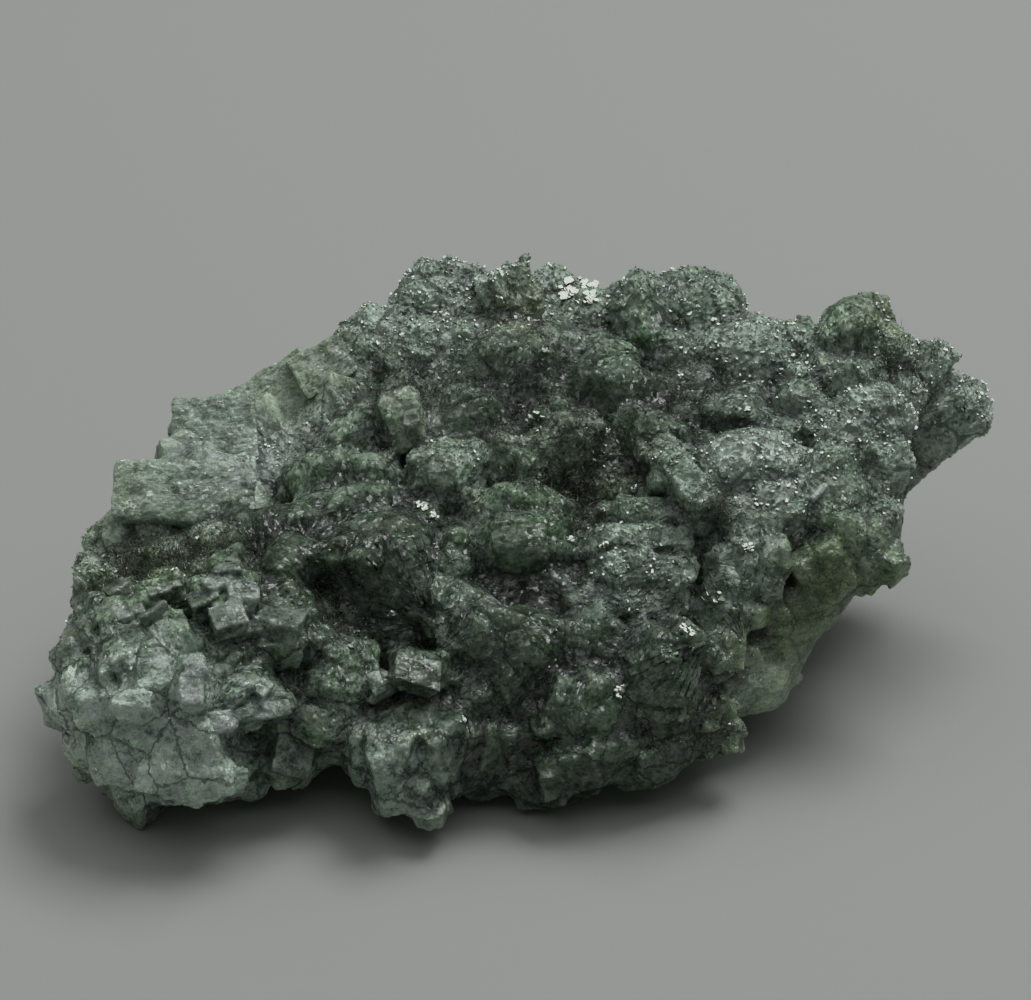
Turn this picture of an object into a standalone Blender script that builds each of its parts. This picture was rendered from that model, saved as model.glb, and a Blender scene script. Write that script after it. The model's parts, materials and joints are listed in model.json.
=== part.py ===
"""Prehnite cluster: one intergrown mass of tabular crystals, lying on its broken underside.

Lengths in the tables are millimetres; the finished mesh is in metres, +Z up.
Each lump of the cluster has a name, the pixel where its middle is seen in the 1031 x 1000 reference
picture, the real height of its middle above the table, and real half sizes. A lump stands on the
sight line through its pixel, so the cluster looks right from the side that the picture shows.
"""

import math
import random
from typing import NamedTuple

import bmesh
import bpy
from mathutils import Matrix, Vector

METRES_PER_MM = 0.001

# The sight lines of the reference picture
VIEW_ELEVATION = math.radians(32.0)
VIEW_DISTANCE = 300.0
VIEW_TARGET = Vector((-1.3, -3.0, 22.1))
PIXELS_PER_MM = 11.2
PICTURE_MIDDLE = (515.5, 500.0)

# The hidden line that the crystals grow away from, left to right
GROWTH_LINE = (
    Vector((-29.0, -16.0, 6.0)),
    Vector((-12.0, -6.0, 6.0)),
    Vector((8.0, 0.0, 8.0)),
    Vector((30.0, 10.0, 14.0)),
)

# Shapes of the solids that a lump is made of
BOULDER_CORNERS = 12
ROOT_CORNERS = 3
FAN_SPLAY = math.radians(26.0)
SAME_PLANE = math.radians(0.5)

MOST_TRIANGLES = 9700

# Gaps between neighbours, in mm, that get a small boulder; the room it needs; how deep it sits
FILLER_GAPS = (7.0, 11.0)
FILLER_ROOM = 3.2
FILLER_SINK = 1.2


class Lump(NamedTuple):
    """One group of crystals: kind is fan, boulder, block or rod; half sizes are along the stack, across, out."""

    name: str
    kind: str
    pixel: tuple
    height: float
    half: tuple
    spin: float = 0.0
    plates: int = 4
    lean: tuple = None


LUMPS = (
    # Rounded left end with pale blocky crystals
    Lump("left_heart", "boulder", (165, 715), 8.5, (9.6, 7.4, 7.0)),
    Lump("left_lobe", "fan", (92, 688), 11.0, (3.0, 4.6, 3.4), 60, 3),
    Lump("left_low_lobe", "boulder", (92, 742), 6.8, (3.0, 3.2, 3.0)),
    Lump("left_brow", "fan", (103, 640), 15.0, (3.4, 3.2, 3.2), -20, 4),
    Lump("frost_step", "fan", (150, 652), 16.2, (3.8, 2.8, 2.6), 20, 3),
    Lump("frost_face", "fan", (138, 692), 13.4, (4.4, 3.6, 3.6), 10, 4),
    Lump("white_prism", "rod", (194, 686), 15.6, (1.3, 2.4, 2.2), 4),
    Lump("bright_fan", "fan", (236, 682), 13.0, (3.4, 3.4, 3.4), -38, 4),
    Lump("long_blade", "rod", (248, 714), 11.0, (4.0, 1.1, 3.0), 14),
    Lump("small_lens", "rod", (214, 728), 11.2, (1.8, 0.7, 2.0), 18),
    Lump("combed_fan", "fan", (172, 738), 9.6, (4.8, 4.2, 4.0), 2, 5),
    Lump("lime_ball", "boulder", (112, 740), 8.4, (3.4, 3.2, 3.4)),
    Lump("left_toe", "fan", (132, 768), 4.2, (4.2, 2.8, 2.8), 8, 3),
    Lump("middle_toe", "fan", (192, 764), 4.4, (4.4, 2.8, 3.0), -4, 4),
    Lump("right_toe", "fan", (242, 752), 5.4, (3.2, 3.0, 3.0), -10, 3),
    Lump("hanging_block", "fan", (292, 754), 5.4, (2.2, 2.2, 2.4), 0, 2),
    # Rough ledge behind the left end
    Lump("ledge_heart", "boulder", (175, 588), 13.5, (9.4, 6.4, 6.4)),
    Lump("ledge_corner", "boulder", (116, 541), 16.6, (3.4, 3.6, 3.4)),
    Lump("ledge_cheek", "boulder", (102, 592), 14.4, (3.2, 4.2, 3.6)),
    Lump("rough_mound", "boulder", (220, 547), 18.2, (4.2, 3.2, 2.8)),
    Lump("ledge_rod_low", "rod", (141, 613), 17.8, (2.4, 0.9, 1.6), 24),
    Lump("ledge_rod_high", "rod", (162, 594), 18.6, (2.2, 0.9, 1.6), 28),
    Lump("cube_left", "block", (206, 600), 18.6, (1.4, 1.5, 2.0), 24),
    Lump("cube_back", "block", (228, 576), 19.8, (1.4, 1.2, 2.0), 5),
    Lump("cube_right", "block", (241, 595), 19.0, (1.6, 1.5, 2.0), 4),
    Lump("cube_front", "block", (228, 619), 18.0, (1.7, 1.6, 2.2), 20),
    Lump("barrel_block", "fan", (278, 621), 15.8, (2.8, 2.8, 2.6), 14, 3),
    Lump("blue_bump", "boulder", (284, 572), 17.6, (3.0, 2.8, 2.8)),
    Lump("glitter_top", "boulder", (292, 528), 19.4, (3.8, 2.4, 2.8)),
    # Dark fan and the lumps under it
    Lump("dark_fan", "fan", (380, 570), 15.6, (6.2, 5.6, 5.6), 62, 5),
    Lump("dark_ridge", "boulder", (366, 509), 20.2, (5.2, 2.0, 2.8), 22),
    Lump("laminate_top", "fan", (340, 660), 12.0, (2.6, 2.9, 3.2), 84, 3),
    Lump("laminate_low", "fan", (336, 702), 9.4, (3.2, 3.2, 3.2), 78, 4),
    Lump("laminate_left", "fan", (304, 688), 9.6, (2.2, 3.6, 3.0), 10, 2),
    Lump("splinter", "rod", (376, 684), 11.6, (0.8, 1.4, 2.0), 20),
    Lump("green_block", "block", (417, 671), 12.6, (2.4, 1.9, 2.8), -4),
    Lump("green_body", "boulder", (400, 655), 10.4, (4.8, 4.2, 4.0)),
    Lump("frosted_ball", "fan", (418, 752), 6.8, (4.6, 4.4, 4.2), 4, 5),
    Lump("frosted_flank", "fan", (370, 742), 6.8, (2.2, 3.8, 2.8), 0, 2),
    Lump("frosted_foot", "fan", (412, 774), 3.8, (4.0, 2.4, 2.8), 0, 3),
    # Middle lumps
    Lump("cap_lump", "boulder", (526, 548), 17.6, (6.0, 5.0, 4.8)),
    Lump("cap_top", "boulder", (520, 512), 20.8, (5.4, 2.6, 3.4)),
    Lump("cap_left", "boulder", (458, 555), 18.0, (2.8, 4.0, 3.2)),
    Lump("striped_fan", "fan", (464, 624), 14.4, (3.8, 3.4, 3.4), -32, 4),
    Lump("scallop_lump", "fan", (522, 648), 13.2, (5.0, 4.0, 4.2), -8, 4),
    Lump("apron_fan", "fan", (478, 700), 9.4, (6.2, 3.8, 4.2), 24, 5),
    Lump("apron_foot", "fan", (488, 733), 7.2, (4.0, 2.2, 3.4), -14, 3),
    Lump("bottom_dark", "fan", (502, 752), 5.0, (4.6, 2.8, 2.8), 30, 3),
    Lump("side_lump", "fan", (587, 655), 12.4, (3.2, 3.6, 3.2), 48, 3),
    Lump("twin_lump", "fan", (592, 704), 9.4, (4.4, 3.4, 3.6), -20, 4),
    Lump("twin_foot", "fan", (584, 752), 6.0, (4.4, 3.0, 3.4), 14, 4),
    Lump("grid_lump", "fan", (655, 675), 11.4, (4.8, 4.8, 4.2), 38, 5),
    Lump("grid_foot", "fan", (690, 715), 7.8, (3.4, 3.4, 3.0), -52, 3),
    Lump("low_corner", "fan", (648, 755), 4.8, (3.2, 2.6, 2.6), 20, 3),
    Lump("base_strip", "fan", (570, 768), 3.4, (5.4, 1.9, 2.4), 6, 3),
    # Flat dusty ledge and the felted hollow above it
    Lump("dust_ledge", "fan", (642, 553), 18.0, (2.8, 5.4, 4.4), 88, 3),
    Lump("dust_step", "fan", (642, 592), 15.8, (2.0, 4.2, 3.8), 92, 2),
    Lump("dust_lump", "boulder", (592, 610), 15.2, (3.4, 2.8, 3.2)),
    Lump("felt_hollow", "boulder", (600, 492), 19.2, (6.4, 4.4, 4.2)),
    Lump("ridge_blade", "rod", (682, 492), 22.6, (1.5, 5.0, 4.0), 32),
    Lump("blade_head", "boulder", (658, 438), 24.8, (3.2, 2.8, 3.2)),
    Lump("shoulder_mid", "boulder", (518, 462), 23.2, (3.4, 2.2, 2.8)),
    Lump("shoulder_fan", "fan", (568, 446), 23.8, (2.8, 2.6, 2.8), 24, 3),
    Lump("shoulder_left", "boulder", (444, 474), 22.0, (4.6, 3.2, 3.6)),
    Lump("long_dust", "boulder", (332, 474), 20.8, (5.2, 2.6, 3.2), 16),
    Lump("left_ridge", "boulder", (374, 427), 23.4, (5.0, 2.2, 3.2), 28),
    Lump("pale_knob", "block", (405, 420), 24.6, (1.9, 2.4, 3.0), 0),
    # Dusty mound and the lumps at its right
    Lump("dusty_mound", "boulder", (742, 466), 23.0, (6.2, 3.6, 4.2)),
    Lump("layer_cap", "boulder", (742, 518), 20.2, (3.2, 2.2, 2.8)),
    Lump("layer_ball", "fan", (742, 570), 16.8, (4.4, 3.8, 4.0), 86, 4),
    Lump("layer_foot", "fan", (716, 615), 13.6, (2.8, 3.0, 3.0), 80, 3),
    Lump("dark_block", "block", (717, 643), 12.2, (1.9, 2.0, 2.8), -4),
    Lump("smooth_body", "boulder", (782, 610), 12.0, (5.0, 5.4, 4.4)),
    Lump("lime_lump", "fan", (757, 670), 7.0, (3.0, 3.2, 3.2), 14, 3),
    Lump("edge_lump", "boulder", (788, 640), 9.6, (2.2, 3.4, 2.8)),
    Lump("rod_mound", "boulder", (826, 503), 20.8, (4.2, 3.0, 3.4)),
    Lump("white_rod", "rod", (818, 493), 23.8, (1.2, 0.5, 1.4), 46),
    Lump("right_lump", "fan", (834, 556), 17.0, (4.1, 3.9, 3.8), 30, 4),
    Lump("right_edge", "boulder", (875, 528), 18.2, (2.6, 4.2, 3.4)),
    Lump("right_under", "boulder", (818, 600), 13.4, (3.0, 3.2, 3.2)),
    # Right end
    Lump("right_ball", "boulder", (874, 418), 25.8, (4.0, 3.2, 3.6)),
    Lump("right_ball_left", "boulder", (848, 444), 24.4, (2.8, 3.0, 3.2)),
    Lump("right_ball_right", "boulder", (889, 460), 23.0, (2.4, 3.0, 3.0)),
    Lump("right_neck", "boulder", (866, 486), 20.6, (3.6, 3.2, 3.6)),
    Lump("high_ball", "boulder", (852, 332), 29.6, (3.8, 3.8, 3.6)),
    Lump("high_ball_cap", "boulder", (870, 315), 30.4, (2.4, 2.4, 2.4)),
    Lump("saddle_lump", "boulder", (888, 356), 28.0, (3.2, 3.2, 3.2)),
    Lump("crest_lump", "boulder", (924, 366), 26.6, (2.4, 3.0, 3.0)),
    Lump("shelf_lump", "boulder", (858, 384), 27.0, (3.4, 2.4, 3.0)),
    Lump("right_mass", "boulder", (932, 410), 22.0, (4.6, 4.4, 5.0)),
    Lump("right_tip", "boulder", (966, 412), 22.2, (2.8, 2.8, 3.0)),
    Lump("right_keel", "boulder", (910, 440), 19.0, (3.4, 2.8, 3.6)),
    # Top and back
    Lump("top_slope", "boulder", (444, 302), 28.2, (6.2, 4.4, 5.0)),
    Lump("olive_block", "block", (518, 312), 29.6, (2.8, 2.6, 3.6), -3),
    Lump("back_knob", "boulder", (554, 292), 29.4, (2.8, 2.4, 2.8)),
    Lump("glint_lump", "boulder", (592, 322), 28.2, (3.8, 3.6, 3.4)),
    Lump("back_lumps", "boulder", (640, 310), 29.6, (3.8, 4.2, 3.8)),
    Lump("big_mound", "boulder", (694, 305), 29.6, (4.6, 4.4, 4.4)),
    Lump("dusty_slope", "boulder", (748, 358), 27.0, (5.2, 4.4, 4.4)),
    Lump("slope_toe", "boulder", (796, 398), 25.2, (3.2, 3.4, 3.2)),
    Lump("saddle", "boulder", (795, 352), 26.8, (4.2, 3.2, 3.6)),
    Lump("mid_crown", "boulder", (602, 390), 26.4, (4.4, 3.6, 3.6)),
    Lump("dark_field", "boulder", (500, 372), 26.4, (6.6, 4.8, 4.6)),
    Lump("dark_field_low", "boulder", (470, 422), 24.0, (5.2, 3.4, 3.8)),
    Lump("dust_ridge", "boulder", (430, 354), 27.0, (6.0, 2.6, 3.6), 18),
    Lump("recess_floor", "boulder", (695, 398), 24.2, (5.2, 4.0, 3.8)),
    Lump("low_saddle", "boulder", (722, 424), 24.0, (4.8, 2.4, 3.2)),
    Lump("left_field", "boulder", (338, 402), 23.6, (5.0, 4.0, 4.0)),
    Lump("left_slope", "boulder", (375, 345), 26.0, (4.6, 3.6, 4.0)),
    # Pale blocks along the back left
    Lump("pale_slab", "block", (186, 492), 20.4, (6.6, 3.6, 1.8), 3, lean=(0.0, -0.12, 1.0)),
    Lump("pale_cube", "block", (214, 436), 20.8, (4.0, 3.4, 3.4), 8, lean=(0.0, -0.2, 1.0)),
    Lump("pale_face", "block", (292, 404), 21.4, (5.2, 3.0, 3.6), 26, lean=(-0.1, -0.3, 1.0)),
    Lump("pale_crest", "block", (360, 366), 24.0, (3.8, 2.8, 3.4), 28, lean=(-0.1, -0.2, 1.0)),
    Lump("pale_root", "boulder", (256, 470), 18.4, (4.8, 4.4, 3.8)),
    Lump("pale_shelf", "boulder", (182, 500), 13.8, (6.0, 4.0, 3.0)),
)

# The side that the picture hides: rows of broken blocks along an arc, from the left end round to the right
BACK_ARC = (
    (-31.0, 4.0),
    (-25.0, 11.0),
    (-17.0, 17.5),
    (-3.0, 21.0),
    (12.0, 20.5),
    (24.0, 16.0),
    (35.0, 14.0),
)
BACK_ROWS = (
    # height of the row, share of the arc's depth, half size of its blocks
    (3.5, 0.84, 4.2),
    (11.0, 0.97, 4.6),
    (18.5, 1.0, 4.4),
)
BACK_BLOCKS = 8

# Big convex solids that fill the inside, then the blunt lumps that it rests on
CORES = (
    # middle, half sizes
    ((-26.0, -8.0, 8.5), (11.0, 8.5, 8.0)),
    ((-20.0, 2.0, 11.0), (12.0, 11.0, 9.0)),
    ((-4.0, 0.0, 11.5), (16.0, 15.0, 10.5)),
    ((12.0, 4.0, 13.0), (14.0, 13.0, 10.5)),
    ((25.0, 9.0, 16.5), (11.0, 9.0, 8.0)),
    ((3.0, 11.0, 19.5), (17.0, 10.0, 8.0)),
    ((-30.0, -16.5, 2.0), (5.5, 4.0, 4.0)),
    ((-15.0, -11.0, 2.0), (5.0, 4.5, 4.0)),
    ((1.0, -15.0, 2.2), (6.0, 4.0, 4.0)),
    ((13.0, -4.0, 2.2), (5.5, 5.0, 4.0)),
    ((16.0, 13.0, 2.2), (5.5, 4.5, 4.0)),
)


def on_sight_line(pixel, height):
    """The point at that height above the table that the reference picture shows at that pixel."""
    away = Vector((0.0, math.cos(VIEW_ELEVATION), -math.sin(VIEW_ELEVATION)))
    up = Vector((0.0, math.sin(VIEW_ELEVATION), math.cos(VIEW_ELEVATION)))
    eye = VIEW_TARGET - away * VIEW_DISTANCE
    across = (pixel[0] - PICTURE_MIDDLE[0]) / PIXELS_PER_MM
    rise = (PICTURE_MIDDLE[1] - pixel[1]) / PIXELS_PER_MM
    through = VIEW_TARGET + Vector((across, 0.0, 0.0)) + up * rise
    share = (height - eye.z) / (through.z - eye.z)
    return eye + (through - eye) * share


def growth_foot(middle):
    """The point of the growth line that a lump with this middle grows from."""
    feet = []
    for start, end in zip(GROWTH_LINE, GROWTH_LINE[1:]):
        along = end - start
        share = (middle - start).dot(along) / along.length_squared
        feet.append(start + along * min(max(share, 0.0), 1.0))
    return min(feet, key=lambda foot: (middle - foot).length)


def crystal_axes(middle, spin, lean):
    """Three axes of a lump: along its stack of plates, across the plates, and out of the cluster."""
    out = (Vector(lean) if lean else middle - growth_foot(middle)).normalized()
    right = Vector((1.0, 0.0, 0.0))
    right = (right - out * right.dot(out)).normalized()
    stack = Matrix.Rotation(math.radians(spin), 3, out) @ right
    return stack, out.cross(stack), out


def boulder_points(middle, axes, half, rng):
    """Points spread evenly over an ellipsoid and pushed in and out, for a lump with flat facets."""
    golden = math.pi * (3.0 - math.sqrt(5.0))
    start = rng.uniform(0.0, math.tau)
    points = []
    for i in range(BOULDER_CORNERS):
        level = 1.0 - 2.0 * (i + 0.5) / BOULDER_CORNERS
        ring = math.sqrt(1.0 - level * level)
        turn = start + i * golden
        reach = rng.uniform(0.92, 1.14)
        local = (ring * math.cos(turn), ring * math.sin(turn), level)
        points.append(middle + sum((a * (h * c * reach) for a, h, c in zip(axes, half, local)), Vector()))
    return points


def root_points(middle, axes, half, share, depth):
    """A small ring below a lump, that makes it taper into the cluster."""
    stack, across, out = axes
    ring = middle - out * depth
    points = []
    for i in range(ROOT_CORNERS):
        turn = math.tau * i / ROOT_CORNERS
        points.append(ring + stack * (half[0] * share * math.cos(turn)) + across * (half[1] * share * math.sin(turn)))
    return points


def tablet_points(middle, axes, half, rng):
    """A flat crystal: its outline, in the across-out plane, has bevelled outer corners."""
    stack, across, out = axes
    thick, wide, tall = half
    bevel = rng.uniform(0.45, 0.8)
    slant = rng.uniform(-0.12, 0.12)
    mirror = rng.choice((-1.0, 1.0))
    corners = (
        # across, out, share of the thickness
        (-1.0, -1.0, 0.85),
        (1.0, -1.0, 0.85),
        (1.0, bevel - slant, 1.0),
        (bevel, 1.0, 0.8),
        (-1.0, 1.0 - slant, 0.9),
    )
    points = []
    for side in (-1.0, 1.0):
        for u, v, share in corners:
            flat = across * (mirror * u * wide * 0.92) + out * (v * tall)
            points.append(middle + flat + stack * (side * thick * share))
    return points


def fan_tablets(middle, axes, half, plates, depth, rng):
    """Point sets of the plates of a fan: they stand side by side and splay outward like a hand of cards."""
    stack, across, out = axes
    length, wide, tall = half
    sets = []
    for i in range(plates):
        place = (2.0 * i + 1.0) / plates - 1.0
        turn = Matrix.Rotation(FAN_SPLAY * place + rng.uniform(-0.06, 0.06), 3, across)
        turned = tuple(turn @ axis for axis in axes)
        round_off = math.sqrt(1.0 - 0.62 * place * place)
        plate_half = (
            length / plates * rng.uniform(1.1, 1.35),
            wide * round_off * rng.uniform(0.86, 1.12),
            tall * (0.35 + 0.65 * round_off) * rng.uniform(0.86, 1.1),
        )
        offset = stack * (place * length * 0.92) + across * (wide * rng.uniform(-0.14, 0.14))
        root = root_points(middle + offset * 0.5, axes, (plate_half[0], wide), 0.7, depth)
        sets.append(tablet_points(middle + offset, turned, plate_half, rng) + root)
    return sets


def lump_point_sets(lump, middle):
    """The point sets of the convex solids that make one lump."""
    rng = random.Random(lump.name)
    axes = crystal_axes(middle, lump.spin, lump.lean)
    depth = (middle - growth_foot(middle)).length
    if lump.kind == "boulder":
        return [boulder_points(middle, axes, lump.half, rng) + root_points(middle, axes, lump.half, 0.8, depth * 0.7)]
    if lump.kind == "fan":
        return fan_tablets(middle, axes, lump.half, lump.plates, depth * 0.6, rng)
    return [tablet_points(middle, axes, lump.half, rng)]


def along_arc(share):
    """The point of the back arc at that share of its number of stretches."""
    place = share * (len(BACK_ARC) - 1)
    i = min(int(place), len(BACK_ARC) - 2)
    return Vector(BACK_ARC[i]).lerp(Vector(BACK_ARC[i + 1]), place - i)


def back_point_sets():
    """Broken blocks with big flat faces, in rows up the back."""
    rng = random.Random("back")
    sets = []
    for row, (height, share, half) in enumerate(BACK_ROWS):
        for i in range(BACK_BLOCKS):
            place = along_arc((i + 0.5 * (row % 2) + 0.25) / BACK_BLOCKS)
            middle = Vector((place.x * share, place.y * share, height + rng.uniform(-1.2, 1.2)))
            axes = crystal_axes(middle, rng.uniform(-40.0, 40.0), None)
            sizes = [half * rng.uniform(0.8, 1.15) for _ in range(3)]
            sets.append(tablet_points(middle, axes, sizes, rng) if rng.random() < 0.6
                        else boulder_points(middle, axes, sizes, rng))
    return sets


def filler_point_sets(middles):
    """A small boulder in each gap between two neighbours that no third lump covers."""
    rng = random.Random("fillers")
    sets = []
    placed = list(middles)
    for i, first in enumerate(middles):
        for second in middles[i + 1:]:
            between = (first + second) / 2.0
            gap = (first - second).length
            if not FILLER_GAPS[0] < gap < FILLER_GAPS[1]:
                continue
            if min((between - other).length for other in placed) < FILLER_ROOM:
                continue
            axes = crystal_axes(between, rng.uniform(0.0, 90.0), None)
            half = [gap * rng.uniform(0.3, 0.42) for _ in range(3)]
            depth = (between - growth_foot(between)).length
            sunk = between - axes[2] * FILLER_SINK
            sets.append(boulder_points(sunk, axes, half, rng) + root_points(sunk, axes, half, 0.8, depth * 0.5))
            placed.append(between)
    return sets


def convex_solid(name, points):
    """An object that is a closed convex solid round the points, in metres."""
    solid = bmesh.new()
    for point in points:
        solid.verts.new(point * METRES_PER_MM)
    bmesh.ops.convex_hull(solid, input=solid.verts)
    loose = [vert for vert in solid.verts if not vert.link_faces]
    bmesh.ops.delete(solid, geom=loose, context="VERTS")
    bmesh.ops.dissolve_limit(solid, angle_limit=SAME_PLANE, verts=solid.verts, edges=solid.edges)
    bmesh.ops.recalc_face_normals(solid, faces=solid.faces)
    mesh = bpy.data.meshes.new(name)
    solid.to_mesh(mesh)
    solid.free()
    return bpy.data.objects.new(name, mesh)


def modified(thing):
    """The object's mesh as its modifiers leave it; the object itself goes."""
    mesh = bpy.data.meshes.new_from_object(thing.evaluated_get(bpy.context.evaluated_depsgraph_get()))
    bpy.data.objects.remove(thing)
    return mesh


def grown_together(point_sets):
    """One mesh that is the union of all the convex solids."""
    scene = bpy.context.scene
    base = convex_solid("base", point_sets[0])
    scene.collection.objects.link(base)
    pieces = bpy.data.collections.new("pieces")
    scene.collection.children.link(pieces)
    for points in point_sets[1:]:
        pieces.objects.link(convex_solid("piece", points))
    union = base.modifiers.new("grow", "BOOLEAN")
    union.operation = "UNION"
    union.operand_type = "COLLECTION"
    union.collection = pieces
    union.solver = "EXACT"
    mesh = modified(base)
    for thing in list(pieces.objects):
        bpy.data.objects.remove(thing)
    bpy.data.collections.remove(pieces)
    return mesh


def keep_outer_skin(mesh):
    """Fills the hollows that the solids closed in, by removing every skin but the largest."""
    solid = bmesh.new()
    solid.from_mesh(mesh)
    waiting = set(solid.verts)
    skins = []
    while waiting:
        skin = {waiting.pop()}
        rim = list(skin)
        while rim:
            vert = rim.pop()
            reached = {edge.other_vert(vert) for edge in vert.link_edges} - skin
            skin |= reached
            rim += reached
        waiting -= skin
        skins.append(skin)
    skins.sort(key=len)
    for skin in skins[:-1]:
        bmesh.ops.delete(solid, geom=list(skin), context="VERTS")
    solid.to_mesh(mesh)
    solid.free()


def simplified(mesh):
    """The same surface with its smallest edges collapsed, down to the number of triangles wanted."""
    thing = bpy.data.objects.new("simplified", mesh)
    bpy.context.scene.collection.objects.link(thing)
    fewer = thing.modifiers.new("fewer", "DECIMATE")
    fewer.ratio = MOST_TRIANGLES / (2 * len(mesh.vertices) - 4)
    fewer.use_collapse_triangulate = True
    return modified(thing)


def cut_at_table(mesh):
    """The mesh without what lies below the table, so that its lowest lumps have flat faces to rest on."""
    thing = bpy.data.objects.new("cut", mesh)
    corners = [Vector((x, y, z)) for x in (-90.0, 90.0) for y in (-90.0, 90.0) for z in (-40.0, 0.0)]
    table = convex_solid("table", corners)
    for item in (thing, table):
        bpy.context.scene.collection.objects.link(item)
    cut = thing.modifiers.new("rest", "BOOLEAN")
    cut.operation = "DIFFERENCE"
    cut.object = table
    cut.solver = "EXACT"
    remaining = modified(thing)
    bpy.data.objects.remove(table)
    return remaining


def centre_on_base(mesh):
    """Moves the mesh so that the middle of the bottom of its box is the origin."""
    low = [min(vert.co[i] for vert in mesh.vertices) for i in range(3)]
    high = [max(vert.co[i] for vert in mesh.vertices) for i in range(3)]
    shift = Vector((-(low[0] + high[0]) / 2.0, -(low[1] + high[1]) / 2.0, -low[2]))
    mesh.transform(Matrix.Translation(shift))
    print("moved by", [round(value / METRES_PER_MM, 3) for value in shift], "mm; box",
          [round((b - a) / METRES_PER_MM, 2) for a, b in zip(low, high)], "mm")


def prehnite():
    """Pale to dark grey-green stone, a little glassy."""
    material = bpy.data.materials.new("prehnite")
    material.use_nodes = True
    surface = material.node_tree.nodes["Principled BSDF"]
    surface.inputs["Base Color"].default_value = (0.16, 0.21, 0.15, 1.0)
    surface.inputs["Roughness"].default_value = 0.45
    return material


def main():
    for thing in list(bpy.data.objects):
        bpy.data.objects.remove(thing)
    middles = [on_sight_line(lump.pixel, lump.height) for lump in LUMPS]
    point_sets = []
    rng = random.Random("cores")
    for middle, half in CORES:
        axes = (Vector((1.0, 0.0, 0.0)), Vector((0.0, 1.0, 0.0)), Vector((0.0, 0.0, 1.0)))
        point_sets.append(boulder_points(Vector(middle), axes, half, rng))
    for lump, middle in zip(LUMPS, middles):
        point_sets += lump_point_sets(lump, middle)
    point_sets += filler_point_sets(middles)
    point_sets += back_point_sets()
    mesh = grown_together(point_sets)
    keep_outer_skin(mesh)
    mesh = cut_at_table(simplified(mesh))
    keep_outer_skin(mesh)
    centre_on_base(mesh)
    mesh.materials.clear()
    mesh.materials.append(prehnite())
    bpy.context.scene.collection.objects.link(bpy.data.objects.new("prehnite_cluster", mesh))
    print("solids", len(point_sets), "triangles", 2 * len(mesh.vertices) - 4)


main()
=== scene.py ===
"""Looks of the prehnite cluster: crystals, rounded lumps, fans of plates, dust and needles on its solid.

The solid gives the shape. Places on its front are named by the pixel of the 1031 x 1000 picture that shows
them, and each is found by a sight line from the camera to the solid. In the tables of crystals and lumps
sizes are half sizes in millimetres, and spins and turns are in degrees.
"""

import json
import math

import bmesh
import bpy
import numpy as np
from mathutils import Matrix, Vector
from mathutils.bvhtree import BVHTree
from mathutils.kdtree import KDTree
from mathutils.noise import fractal

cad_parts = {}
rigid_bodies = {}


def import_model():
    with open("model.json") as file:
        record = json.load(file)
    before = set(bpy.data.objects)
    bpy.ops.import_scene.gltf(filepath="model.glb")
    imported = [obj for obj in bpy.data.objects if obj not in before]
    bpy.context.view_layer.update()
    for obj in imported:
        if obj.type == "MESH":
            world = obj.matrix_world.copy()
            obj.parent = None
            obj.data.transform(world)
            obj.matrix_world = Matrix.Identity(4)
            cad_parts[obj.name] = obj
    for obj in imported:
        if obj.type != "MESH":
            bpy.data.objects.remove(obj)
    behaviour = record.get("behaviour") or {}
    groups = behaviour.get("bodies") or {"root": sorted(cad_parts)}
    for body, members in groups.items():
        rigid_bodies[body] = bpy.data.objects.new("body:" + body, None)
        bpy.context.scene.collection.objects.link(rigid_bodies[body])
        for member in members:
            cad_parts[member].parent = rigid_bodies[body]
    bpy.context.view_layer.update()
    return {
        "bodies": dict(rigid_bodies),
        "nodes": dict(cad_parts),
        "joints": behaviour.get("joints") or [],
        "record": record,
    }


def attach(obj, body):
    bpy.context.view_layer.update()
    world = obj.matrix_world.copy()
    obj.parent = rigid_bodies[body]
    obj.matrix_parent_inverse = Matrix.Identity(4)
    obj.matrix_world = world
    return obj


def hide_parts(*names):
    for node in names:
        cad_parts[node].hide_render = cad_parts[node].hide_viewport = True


MM = 0.001

# Seeds of the random crystals and of the patches of tone on the hidden side
CRYSTAL_SEED = 11
PATCH_SEED = 23

# The camera of the picture
PICTURE_SIZE = (1031, 1000)
PIXELS_PER_MM = 11.2
VIEW_ELEVATION = math.radians(32.0)
VIEW_DISTANCE = 300.0 * MM
VIEW_TARGET = Vector((-1.574, -3.034, 22.1)) * MM
SENSOR_WIDTH = 36.0
NEAREST_SEEN = 0.01

# Where a sight line that misses the solid is set against it, in mm from the camera
MISSED_STEPS = range(260, 350, 2)

# The window and the ceiling light: place and size in metres, and power; the point that both face; the light
# of the room; and the floor
WINDOW_PLACE = (0.28, 0.34, 0.92)
WINDOW_SIZE = (0.56, 0.44)
WINDOW_POWER = 5.6
CEILING_PLACE = (0.0, 0.1, 1.3)
CEILING_SIZE = (2.2, 2.2)
CEILING_POWER = 10.0
LIGHT_AIM = (0.0, 0.0, 0.015)
ROOM_TONE = (0.97, 1.0, 0.97, 1.0)
ROOM_STRENGTH = 0.11
FLOOR_TONE = (0.33, 0.343, 0.33, 1.0)
FLOOR_ROUGHNESS = 0.75
FLOOR_REACH = 2.5

# The hidden line that the crystals grow away from, left to right
GROWTH_LINE = (
    Vector((-29.3, -16.0, 6.0)) * MM,
    Vector((-12.3, -6.0, 6.0)) * MM,
    Vector((7.7, 0.0, 8.0)) * MM,
    Vector((29.7, 10.0, 14.0)) * MM,
)

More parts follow.
